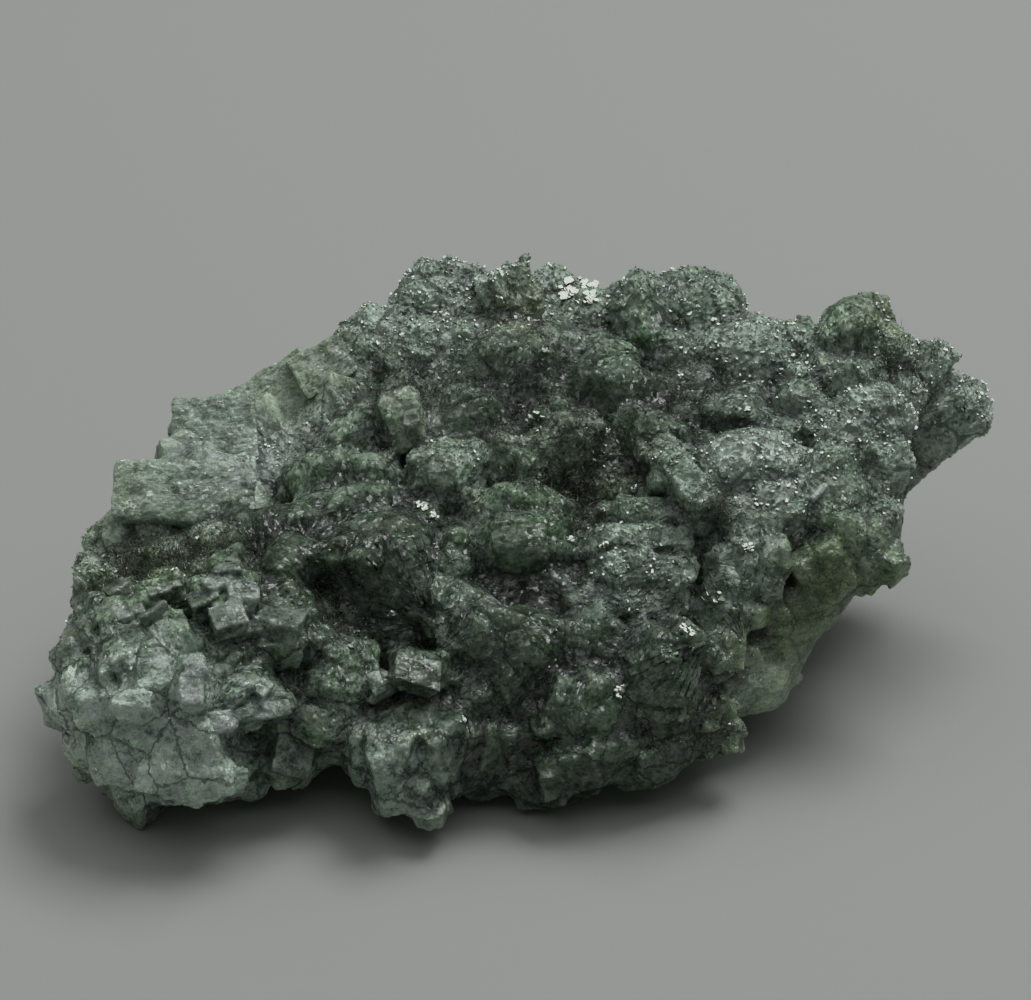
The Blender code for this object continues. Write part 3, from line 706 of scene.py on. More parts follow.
def surface_samples(points, triangles, rng):
    """Random points of the surface, evenly spread by area, and their normals."""
    corners = points[triangles]
    cross = np.cross(corners[:, 1] - corners[:, 0], corners[:, 2] - corners[:, 0])
    area = np.linalg.norm(cross, axis=1)
    chosen = rng.choice(len(triangles), SURFACE_SAMPLES, p=area / area.sum())
    share = rng.random((SURFACE_SAMPLES, 2))
    folded = share.sum(axis=1) > 1.0
    share[folded] = 1.0 - share[folded]
    first, second = share[:, :1], share[:, 1:]
    picked = corners[chosen]
    places = picked[:, 0] + first * (picked[:, 1] - picked[:, 0]) + second * (picked[:, 2] - picked[:, 0])
    return places, cross[chosen] / area[chosen][:, None]


def fan_crystals(surface, rng):
    """Centres, axes and half sizes of the plates of the named fans."""
    centres, axes, halves = [], [], []
    for pixel, half, spin, tone in FANS.values():
        place, _ = seen_at(surface, pixel)
        frame = crystal_axes(growth_direction(place), spin)
        length, wide, tall = (value * MM for value in half)
        middle = np.array(place) + frame[2] * (FAN_RISE - tall)
        rows = max(3, round(2.0 * length / PLATE_PITCH))
        blades = 1 if TONES[tone][5] > 0.1 else max(2, round(2.0 * wide / BLADE_WIDTH))
        for row in range(rows):
            along = (2.0 * row + 1.0) / rows - 1.0
            round_off = math.sqrt(1.0 - 0.9 * along**2)
            row_height = tall * (0.35 + 0.65 * round_off) * rng.uniform(0.95, 1.05)
            turned = splayed(frame[None], np.array([FAN_SPLAY * along + rng.normal(0.0, 0.03)]))[0]
            for blade in range(blades):
                across = (2.0 * blade + 1.0) / blades - 1.0
                height = row_height * math.sqrt(1.0 - 0.45 * across**2) * rng.uniform(0.94, 1.04)
                offset = frame[0] * along * length * 0.94
                offset = offset + frame[1] * (across * wide * round_off * 0.9 + rng.normal(0.0, 0.2) * MM)
                centres.append(middle + offset + turned[2] * (height - row_height) * 0.5)
                axes.append(turned)
                halves.append((
                    length / rows * rng.uniform(1.3, 2.0),
                    wide / blades * (rng.uniform(1.3, 1.9) if blades > 1 else round_off),
                    height,
                ))
    return np.array(centres), np.array(axes), np.array(halves)


def ball_mesh():
    """Points and triangles of a ball."""
    ball = bmesh.new()
    bmesh.ops.create_icosphere(ball, subdivisions=3, radius=1.0)
    corners = np.array([tuple(vert.co) for vert in ball.verts])
    faces = np.array([[vert.index for vert in face.verts] for face in ball.faces])
    ball.free()
    return corners, faces


def rounded_lumps(surface):
    """Points and triangles of the rounded lumps."""
    corners, faces = ball_mesh()
    away, up = camera_axes()
    points, triangles = [], []
    for pixel, half, turn, rise in DOMES.values():
        place, _ = seen_at(surface, pixel)
        leaning = Matrix.Rotation(math.radians(turn), 3, -away)
        frame = np.array((leaning @ Vector((1.0, 0.0, 0.0)), leaning @ up, -away))
        middle = np.array(place + away * (half[2] - rise) * MM)
        lump = middle + (corners * np.array(half) * MM) @ frame
        lump[:, 2] = np.maximum(lump[:, 2], 0.0)
        triangles.append(faces + len(points) * len(corners))
        points.append(lump)
    return np.concatenate(points), np.concatenate(triangles)


def crystal_patches(places, normals, tone_map, rng):
    """Middles and axes of the patches in which the crystals lie alike."""
    seeds = spread(places, PATCH_SPACING, rng)
    smooth = tone_map.at(places[seeds])[:, 5]
    frames = []
    for place, normal, even in zip(places[seeds], normals[seeds], smooth):
        out = (growth_direction(Vector(place)) + Vector(normal) * 0.6).normalized()
        frames.append(crystal_axes(out, 90.0 if even > SMOOTH_PATCH else rng.uniform(0.0, 180.0)))
    return places[seeds], np.array(frames)


def tilted(axes, tilt, rng):
    """The axes, each turned a little at random and kept square."""
    outs = normalised(axes[:, 2] + rng.normal(0.0, tilt, (len(axes), 3)))
    stack = axes[:, 0] + rng.normal(0.0, tilt, (len(axes), 3))
    stack = normalised(stack - outs * np.einsum("ij,ij->i", stack, outs)[:, None])
    return np.stack((stack, np.cross(outs, stack), outs), axis=1)


def blocks(places, normals, patches, tone_map, block_size, rng):
    """Centres, axes and half sizes of blocky crystals that stand a little out of the surface."""
    spacing, half, rise, tilt = block_size
    seeds = spread(places, spacing, rng)
    smooth = tone_map.at(places[seeds])[:, 5]
    seeds = seeds[(rng.random(len(seeds)) > smooth * 1.1) & (places[seeds][:, 2] > BLOCK_FOOT)]
    count = len(seeds)
    middles, frames = patches
    axes = tilted(frames[nearest_index(middles, places[seeds])], tilt, rng)
    halves = np.array(half) * rng.lognormal(0.0, 0.22, (count, 1)) * rng.uniform(0.7, 1.25, (count, 3))
    reach = np.einsum("ik,ikd,id->ik", halves, axes, normals[seeds])
    sunk = np.abs(reach).sum(axis=1) - rng.uniform(*rise, count)
    return places[seeds] - normals[seeds] * sunk[:, None], axes, halves


def nearest_index(centres, points):
    tree = KDTree(len(centres))
    for i, centre in enumerate(centres):
        tree.insert(centre, i)
    tree.balance()
    return np.array([tree.find(point)[1] for point in points])


def applied(thing):
    """The thing with its modifiers made real."""
    result = bpy.data.meshes.new_from_object(thing.evaluated_get(bpy.context.evaluated_depsgraph_get()))
    thing.modifiers.clear()
    thing.data = result
    return result


def one_skin(points, triangles, voxel, count):
    """The outer skin of overlapping closed solids, as about that many triangles."""
    rough = add_mesh("skin", points, triangles, {})
    skin = rough.modifiers.new("skin", "REMESH")
    skin.mode = "VOXEL"
    skin.voxel_size = voxel
    fine = applied(rough)
    fewer = rough.modifiers.new("fewer", "DECIMATE")
    fewer.ratio = min(1.0, count / (2.0 * len(fine.vertices)))
    points, triangles = mesh_arrays(applied(rough))
    bpy.data.objects.remove(rough)
    return points, triangles


def corner_normals(points, triangles):
    """Normals of the points, from the triangles round them."""
    corners = points[triangles]
    cross = np.cross(corners[:, 1] - corners[:, 0], corners[:, 2] - corners[:, 0])
    total = np.zeros_like(points)
    for axis in range(3):
        weights = np.repeat(cross[:, axis], 3)
        total[:, axis] = np.bincount(triangles.ravel(), weights, len(points))
    return total / np.maximum(np.linalg.norm(total, axis=1, keepdims=True), 1e-12)


def evened(points, triangles, rounds):
    """The points, each moved to the middle of its neighbours that many times."""
    starts = triangles.ravel()
    ends = np.roll(triangles, -1, axis=1).ravel()
    count = np.maximum(np.bincount(starts, minlength=len(points)), 1)
    even = points.copy()
    for _ in range(rounds):
        for axis in range(3):
            even[:, axis] = np.bincount(starts, even[ends, axis], len(points)) / count
    return even


def standing_out(points, triangles, normals, rounds):
    """How far each point stands out of the evened surface."""
    return np.einsum("ij,ij->i", points - evened(points, triangles, rounds), normals)


def edge_share(points, triangles, normals):
    """From -1 in a crease to 1 on an edge."""
    total = sum(standing_out(points, triangles, normals, rounds) / depth for rounds, depth in EDGE_SPANS)
    return np.clip(total / len(EDGE_SPANS), -1.0, 1.0)


def swollen(points, normals, share, spacing, height, rng):
    """The points moved out into rounded swellings, with creases between them."""
    seeds = spread(points, spacing, rng)
    middles = points[seeds]
    nearest = middles[nearest_index(middles, points)]
    distance = np.linalg.norm(points - nearest, axis=1) / spacing
    bulge = np.clip(SWELL_TOP - distance**2, SWELL_CREASE, SWELL_TOP)
    move = height * bulge * share * (points[:, 2] > ROUND_FOOT)
    return points + normals * move[:, None]


def roughened(points, normals, share):
    """The points moved in and out like broken stone."""
    waves = (ROUGH_FADE, ROUGH_STEP, ROUGH_WAVES)
    depth = np.array([fractal(Vector(point), *waves) for point in points / ROUGH_WIDTH])
    return points + normals * (depth * ROUGH_DEPTH * share * (points[:, 2] > ROUND_FOOT))[:, None]


def faceted(points, normals, dust, rng):
    """The points moved onto little tilted planes where it is granular."""
    seeds = spread(points, FACET_SPACING, rng)
    nearest = nearest_index(points[seeds], points)
    planes = normalised(normals[seeds] + rng.normal(0.0, FACET_TILT, (len(seeds), 3)))[nearest]
    steps = (rng.uniform(-1.0, 0.8, len(seeds)) * FACET_STEP)[nearest]
    facing = np.maximum(np.einsum("ij,ij->i", normals, planes), 0.4)
    gap = np.einsum("ij,ij->i", points - points[seeds][nearest], planes)
    move = np.clip((steps - gap) / facing, -FACET_STEP * 1.4, FACET_STEP) * np.clip(dust, 0.0, 1.0)
    move[points[:, 2] < FLAT_FOOT] = 0.0
    moved = points + normals * move[:, None]
    moved[:, 2] = np.maximum(moved[:, 2], 0.0)
    return moved


def growth_lines(grain, rng):
    """A height from -1 to 1 that runs in lines across the first axis of the patches."""
    height = np.zeros(len(grain))
    for _ in range(LINE_WAVES):
        step = math.exp(rng.uniform(math.log(LINE_STEPS[0]), math.log(LINE_STEPS[1]))) / MM
        lean = rng.normal(0.0, 0.06, 2)
        across = grain[:, 0] + grain[:, 1:] @ lean
        height += np.sin(2.0 * math.pi * (across / step + rng.random()))
    return height / math.sqrt(LINE_WAVES)


def grown_surface(points, triangles, samples, surface, tone_map, rng):
    """The solid's surface with lumps, fans and blocks grown out of it: points, triangles and layers."""
    places, normals = samples
    patches = crystal_patches(places, normals, tone_map, rng)
    groups = [fan_crystals(surface, rng)]
    groups += [blocks(places, normals, patches, tone_map, block_size, rng) for block_size in BLOCK_SIZES]
    centres, axes, halves = (np.concatenate(parts) for parts in zip(*groups))
    crystal_points, crystal_triangles = plates_mesh(centres, axes, halves, rng, 0.12)
    lump_points, lump_triangles = rounded_lumps(surface)
    crystal_triangles = crystal_triangles + len(points)
    lump_triangles = lump_triangles + len(points) + len(crystal_points)
    points, triangles = one_skin(
        np.concatenate((points, crystal_points, lump_points)),
        np.concatenate((triangles, crystal_triangles, lump_triangles)),
        BODY_VOXEL,
        BODY_TRIANGLES,
    )
    look = tone_map.at(points)
    rough = evened(points, triangles, ROUNDING)
    points = rough + (evened(points, triangles, SMOOTH_ROUNDING) - rough) * look[:, 5:]
    points[:, 2] = np.maximum(points[:, 2], 0.0)
    frames = patches[1][nearest_index(patches[0], points)]
    grain = np.einsum("nkd,nd->nk", frames, points) / MM
    normals = corner_normals(points, triangles)
    sunk = np.minimum(standing_out(points, triangles, normals, HOLLOW_ROUNDS), 0.0)
    points = points - normals * (sunk * HOLLOW_FILL * (points[:, 2] > FILL_FOOT))[:, None]
    for spacing, height in SWELLINGS:
        points = swollen(points, normals, 1.0 - look[:, 5] * 0.8, spacing, height, rng)
    points = roughened(points, normals, 1.0 - look[:, 5] * 0.7)
    lines = growth_lines(grain, rng) * LINE_DEPTH * (0.3 + look[:, 5]) * (points[:, 2] > FLAT_FOOT)
    points = faceted(points + normals * lines[:, None], normals, look[:, 4], rng)
    normals = corner_normals(points, triangles)
    # Relief shade: painted shade in hollows and painted light on bulges, made weaker where the stone is
    # frosted
    relief = standing_out(points, triangles, normals, HOLLOW_ROUNDS) / HOLLOW_DEPTH
    relief = relief * (1.0 - look[:, 3] * 0.6)
    crystal = nearest_index(centres + axes[:, 2] * halves[:, 2:] * 0.5, points)
    layers = look_layers(
        look,
        shade=rng.uniform(-1.0, 1.0, len(centres))[crystal],
        # The ridge layer sets the painted glow on edges
        ridge=edge_share(points, triangles, normals),
        relief=np.clip(relief, -1.0, 1.0),
        grain=grain,
    )
    return points, triangles, normals, layers


def body_parts(points, triangles, layers):
    """The skin as pieces that meet edge to edge."""
    parts = []
    middle = points[triangles].mean(axis=1)[:, 0]
    for name, (low, high) in BODY_PARTS.items():
        faces = triangles[(middle >= low) & (middle < high)]
        used, renumbered = np.unique(faces, return_inverse=True)
        own_layers = {key: values[used] for key, values in layers.items()}
        parts.append(add_mesh(name, points[used], renumbered.reshape(-1, 3), own_layers))
    return parts


def grains(points, normals, tone_map, rng):
    """Glittering grains where dust can lie."""
    seeds = spread(points, GRAIN_SPACING, rng)
    upward = normals[seeds][:, 2]
    look = tone_map.at(points[seeds])
    keep = rng.random(len(seeds)) < np.clip((upward + 0.1) * look[:, 4] * 1.2, 0.02, 0.9)
    keep &= points[seeds][:, 2] > GRAIN_FOOT
    seeds = seeds[keep]
    look = look[keep]
    count = len(seeds)
    corners = np.array(((1, 0, 0), (-1, 0, 0), (0, 1, 0), (0, -1, 0), (0, 0, 1), (0, 0, -1)), float)
    faces = np.array([(x, y, z) for x in (0, 1) for y in (2, 3) for z in (4, 5)])
    for face in faces:
        a, b, c = corners[face]
        if np.dot(np.cross(b - a, c - a), a + b + c) < 0:
            face[1], face[2] = face[2], face[1]
    axes = turned_axes(normals[seeds], GRAIN_TILT, rng)
    size = rng.lognormal(0.0, 0.35, count) * GRAIN_SIZE
    local = corners[None] * rng.uniform(0.6, 1.3, (count, 6, 1)) * size[:, None, None]
    places = points[seeds] + normals[seeds] * GRAIN_RISE
    verts = places[:, None, :] + np.einsum("nvk,nkd->nvd", local, axes)
    verts[..., 2] = np.maximum(verts[..., 2], 0.0)
    triangles = faces[None] + (np.arange(count) * 6)[:, None, None]
    layers = look_layers(
        np.repeat(look, 6, axis=0),
        tone=np.repeat(look[:, :3] * 1.15 + 0.02, 6, axis=0),
        smooth=np.zeros(count * 6),
        shade=np.repeat(rng.uniform(-1.0, 1.0, count), 6),
        ridge=np.zeros(count * 6),
        relief=np.full(count * 6, 0.3),
        grain=(local / MM).reshape(-1, 3) + np.repeat(rng.uniform(-50.0, 50.0, (count, 3)), 6, axis=0),
    )
    return add_mesh("grains", verts.reshape(-1, 3), triangles.reshape(-1, 3), layers)


def needles(points, normals, surface, rng):
    """Mats of short needles in the hollows."""
    starts, outs = [], []
    for pixel, radius, share in NEEDLE_MATS.values():
        middle, _ = seen_at(surface, pixel)
        distance = np.linalg.norm(points - np.array(middle), axis=1) / (radius * MM)
        weight = np.exp(-(distance**2) * 1.5) * (distance < 1.4)
        chosen = rng.choice(len(points), int(NEEDLE_COUNT * share), p=weight / weight.sum())
        starts.append(points[chosen])
        outs.append(normals[chosen])
    starts = np.concatenate(starts)
    outs = np.concatenate(outs)
    count = len(starts)
    starts = starts + rng.normal(0.0, NEEDLE_STREW, starts.shape)
    along = normalised(outs * 0.3 + rng.normal(0.0, 0.7, starts.shape))
    side = normalised(np.cross(along, rng.normal(size=along.shape)))
    other = np.cross(along, side)
    length = rng.uniform(*NEEDLE_LENGTHS, count)[:, None]
    thick = rng.uniform(*NEEDLE_WIDTHS, count)[:, None]
    foot = starts + outs * NEEDLE_RISE - along * length * 0.3
    ring = [foot + (side * math.cos(turn) + other * math.sin(turn)) * thick for turn in NEEDLE_TURNS]
    verts = np.stack(ring + [foot + along * length], axis=1)
    verts[..., 2] = np.maximum(verts[..., 2], 0.0)
    faces = np.array(((0, 1, 3), (1, 2, 3), (2, 0, 3), (0, 2, 1)))
    triangles = faces[None] + (np.arange(count) * 4)[:, None, None]
    mix = rng.random(count)[:, None]
    look = np.array(TONES["olive"]) * (1.0 - mix) + np.array(TONES["grey_green"]) * mix
    layers = look_layers(
        np.repeat(look, 4, axis=0),
        frost=np.zeros(count * 4),
        dust=np.full(count * 4, 0.3),
        smooth=np.ones(count * 4),
        shade=np.repeat(rng.uniform(-1.0, 1.0, count), 4),
        ridge=np.tile((-0.2, -0.2, -0.2, 0.5), count),
        relief=np.zeros(count * 4),
        grain=verts.reshape(-1, 3) / MM,
    )
    return add_mesh("needles", verts.reshape(-1, 3), triangles.reshape(-1, 3), layers)


def glint_direction(place):
    """Halfway between the ways to the camera and to the window."""
    away, _ = camera_axes()
    to_camera = (VIEW_TARGET - away * VIEW_DISTANCE - place).normalized()
    return (to_camera + (Vector(WINDOW_PLACE) - place).normalized()).normalized()


def clear_crystals(skin, rng):
    """Centres, axes, half sizes and looks of the single clear crystals."""
    placed = []
    for pixel, half, spin, tone in SINGLE_CRYSTALS.values():
        place, normal = seen_at(skin, pixel)
        out = growth_direction(place) + normal * 0.4 + LIFT + Vector(rng.normal(0.0, SINGLE_LEAN, 3))
        frame = crystal_axes(out.normalized(), spin)
        middle = np.array(place) + frame[2] * (SINGLE_RISE - half[2] * MM)
        placed.append((middle, frame, half, TONES[tone]))
    return placed


def blade_fans(skin, rng):
    """Thin blades that spread from a hub and follow the skin."""
    away, up = camera_axes()
    centres, axes, halves, tones = [], [], [], []
    for hub, first, last, count, length, tone in BLADE_FANS.values():
        for angle in np.radians(np.linspace(first, last, count) + rng.normal(0.0, 1.5, count)):
            course = Vector((math.cos(angle), 0.0, 0.0)) + up * math.sin(angle)
            reach = length * rng.uniform(0.75, 1.05)
            for segment in range(BLADE_SEGMENTS):
                share = (segment + 0.9) / (BLADE_SEGMENTS + 0.4)
                step = reach * share * PIXELS_PER_MM
                place, normal = seen_at(
                    skin, (hub[0] + math.cos(angle) * step, hub[1] - math.sin(angle) * step)
                )
                out = (normal - away * 0.5).normalized()
                along = (course - out * course.dot(out)).normalized()
                thick = reach * share * math.radians(last - first) / count * rng.uniform(*BLADE_THICKNESS)
                tall = rng.uniform(*BLADE_HEIGHTS)
                rise = BLADE_RISE * rng.uniform(-0.6, 2.0)
                centres.append(np.array(place + out * (rise - tall * MM)))
                axes.append(np.array((along.cross(out), along, out)))
                halves.append((thick, reach / BLADE_SEGMENTS * rng.uniform(0.5, 0.62), tall))
                tones.append(TONES[tone])
    centres = np.array(centres)
    points, triangles = plates_mesh(
        centres, np.array(axes), np.array(halves) * MM, rng, 0.05, 0.0, BLOCK_OUTLINE
    )
    each = 2 * len(BLOCK_OUTLINE)
    look = np.repeat(np.array(tones), each, axis=0)
    return add_mesh("blades", points, triangles, look_layers(
        look,
        dust=look[:, 4] * 0.5,
        smooth=np.full(len(points), 0.9),
        shade=np.repeat(rng.uniform(-1.0, 1.0, len(centres)), each),
        ridge=np.tile(BLOCK_OUTLINE[:, 1] * 0.35, 2 * len(centres)),
        relief=np.full(len(points), 0.3),
        grain=np.einsum("nkd,nd->nk", np.repeat(np.array(axes), each, axis=0), points) / MM,
    ))


def slab_crystals(surface):
    """Centres, axes, half sizes and looks of the pale slabs."""
    placed = []
    for pixel, half, spin in SLABS.values():
        place, _ = seen_at(surface, pixel)
        frame = crystal_axes(SLAB_FACING, spin)
        middle = np.array(place) + frame[2] * (SLAB_RISE - half[2] * MM)
        placed.append((middle, frame, half, TONES["slab_lime"]))
    return placed


def crystal_piece(name, placed, tone_map, wear, rng):
    """One piece of the placed crystals, with worn edges, in their own tones or those of the map."""
    centres = np.array([crystal[0] for crystal in placed])
    axes = np.array([crystal[1] for crystal in placed])
    halves = np.array([crystal[2] for crystal in placed]) * MM
    points, triangles = plates_mesh(centres, axes, halves, rng, 0.1, 0.1, BLOCK_OUTLINE)
    points, triangles = one_skin(points, triangles, SINGLE_VOXEL, SINGLE_TRIANGLES)
    points = evened(points, triangles, SINGLE_ROUNDING)
    normals = corner_normals(points, triangles)
    points = roughened(points, normals, wear)
    crystal = nearest_index(centres, points)
    look = tone_map.at(points) if tone_map else np.array([one[3] for one in placed])[crystal]
    return add_mesh(name, points, triangles, look_layers(
        look,
        smooth=np.maximum(look[:, 5], 0.9),
        shade=rng.uniform(-0.3, 0.3, len(centres))[crystal],
        ridge=edge_share(points, triangles, normals),
        relief=np.full(len(points), 0.4),
        grain=np.einsum("nkd,nd->nk", axes[crystal][:, (1, 0, 2)], points) / MM,
    ))


def bright_faces(skin, points, normals, tone_map, rng):
    """Little flat faces on the skin: groups that lie alike, and single sparkles."""
    centres, axes, halves = [], [], []
    seeds = spread(points, SPARKLE_SPACING, rng)
    seeds = seeds[(normals[seeds][:, 2] > 0.1) & (points[seeds][:, 2] > FILL_FOOT)]
    dust = tone_map.at(points[seeds])[:, 4]
    seeds = seeds[np.argsort(rng.random(len(seeds)) - dust * 0.6)[:SPARKLES]]
    sparkle_places = zip(points[seeds], normals[seeds])
    for pixel, half in GLINTS.values():
        for _ in range(GLINT_FACES):
            shift = rng.normal(0.0, half * GLINT_SPREAD, 2) * PIXELS_PER_MM
            place, normal = seen_at(skin, (pixel[0] + shift[0], pixel[1] + shift[1]))
            facing = glint_direction(place) + Vector(rng.normal(0.0, GLINT_TILT, 3))
            across, up, facing = crystal_axes(facing.normalized(), pixel[0])
            wide = half * rng.uniform(*GLINT_WIDTHS) * MM
            sunk = facing * wide * 0.5
            centres.append(np.array(place + normal * GLINT_RISE) - sunk + facing * GLINT_RISE)
            axes.append(np.array((facing, across, up)))
            halves.append((wide * 0.5, wide * rng.uniform(*FACE_LENGTHS), wide))
    for place, normal in sparkle_places:
        facing = glint_direction(Vector(place)) + Vector(rng.normal(0.0, SPARKLE_TILT, 3))
        across, up, facing = crystal_axes(facing.normalized(), rng.uniform(0.0, 180.0))
        wide = rng.uniform(*SPARKLE_SIZE)
        centres.append(place + normal * wide)
        axes.append(np.array((facing, across, up)))
        halves.append((wide * 0.5, wide * rng.uniform(*FACE_LENGTHS), wide))
    points, triangles = plates_mesh(np.array(centres), np.array(axes), np.array(halves), rng, 0.2, 0.0)
    return add_mesh("bright_faces", points, triangles, {})


def node(tree, kind, **values):
    made = tree.nodes.new(kind)
    for name, value in values.items():
        setattr(made, name, value)
    return made


def linked_math(tree, operation, first, second):
    made = node(tree, "ShaderNodeMath", operation=operation)
    for socket, value in zip(made.inputs, (first, second)):
        if isinstance(value, (int, float)):
            socket.default_value = value
        else:
            tree.links.new(value, socket)
    return made.outputs[0]


def spread_range(tree, value, low, high, new_low, new_high):
    made = node(tree, "ShaderNodeMapRange")
    tree.links.new(value, made.inputs["Value"])
    for name, number in (("From Min", low), ("From Max", high), ("To Min", new_low), ("To Max", new_high)):
        made.inputs[name].default_value = number
    return made.outputs["Result"]


def noise(tree, vector, scale, detail, roughness=0.6):
    made = node(tree, "ShaderNodeTexNoise")
    made.inputs["Scale"].default_value = scale
    made.inputs["Detail"].default_value = detail
    made.inputs["Roughness"].default_value = roughness
    tree.links.new(vector, made.inputs["Vector"])
    return made.outputs["Fac"]


def mixed(tree, factor, first, second):
    """A colour mix; first and second are colour tuples or sockets."""
    made = node(tree, "ShaderNodeMix", data_type="RGBA")
    for name, value in (("Factor", factor), ("A", first), ("B", second)):
        if isinstance(value, tuple):
            made.inputs[name].default_value = value
        else:
            tree.links.new(value, made.inputs[name])
    return made.outputs["Result"]


def bump(tree, height, strength, distance, normal=None):
    made = node(tree, "ShaderNodeBump")
    made.inputs["Distance"].default_value = distance
    tree.links.new(height, made.inputs["Height"])
    if isinstance(strength, float):
        made.inputs["Strength"].default_value = strength
    else:
        tree.links.new(strength, made.inputs["Strength"])
    if normal:
        tree.links.new(normal, made.inputs["Normal"])
    return made.outputs["Normal"]


def multiplied(tree, *factors):
    total = factors[0]
    for factor in factors[1:]:
        total = linked_math(tree, "MULTIPLY", total, factor)
    return total


def vector_math(tree, operation, first, second):
    made = node(tree, "ShaderNodeVectorMath", operation=operation)
    for socket, value in zip(made.inputs, (first, second)):
        if isinstance(value, tuple):
            socket.default_value = value
        else:
            tree.links.new(value, socket)
    return made.outputs["Value" if operation == "DOT_PRODUCT" else "Vector"]


def mosaic(tree, grain, cells_per_mm, shape=CELL_SHAPE):
    """Crystal faces in the stone: a random number and a slope for each, and the distance to its edge."""
    stretch = tuple(cells_per_mm * share for share in shape)
    place = vector_math(tree, "MULTIPLY", grain, stretch)
    cells = node(tree, "ShaderNodeTexVoronoi")
    edges = node(tree, "ShaderNodeTexVoronoi", feature="DISTANCE_TO_EDGE")
    for cell_node in (cells, edges):
        cell_node.inputs["Scale"].default_value = 1.0
        tree.links.new(place, cell_node.inputs["Vector"])
    lean = vector_math(tree, "SUBTRACT", cells.outputs["Color"], (0.5, 0.5, 0.5))
    slope = vector_math(
        tree, "DOT_PRODUCT", vector_math(tree, "SUBTRACT", place, cells.outputs["Position"]), lean
    )
    parts = node(tree, "ShaderNodeSeparateColor")
    tree.links.new(cells.outputs["Color"], parts.inputs[0])
    return parts.outputs[0], parts.outputs[1], slope, edges.outputs["Distance"]


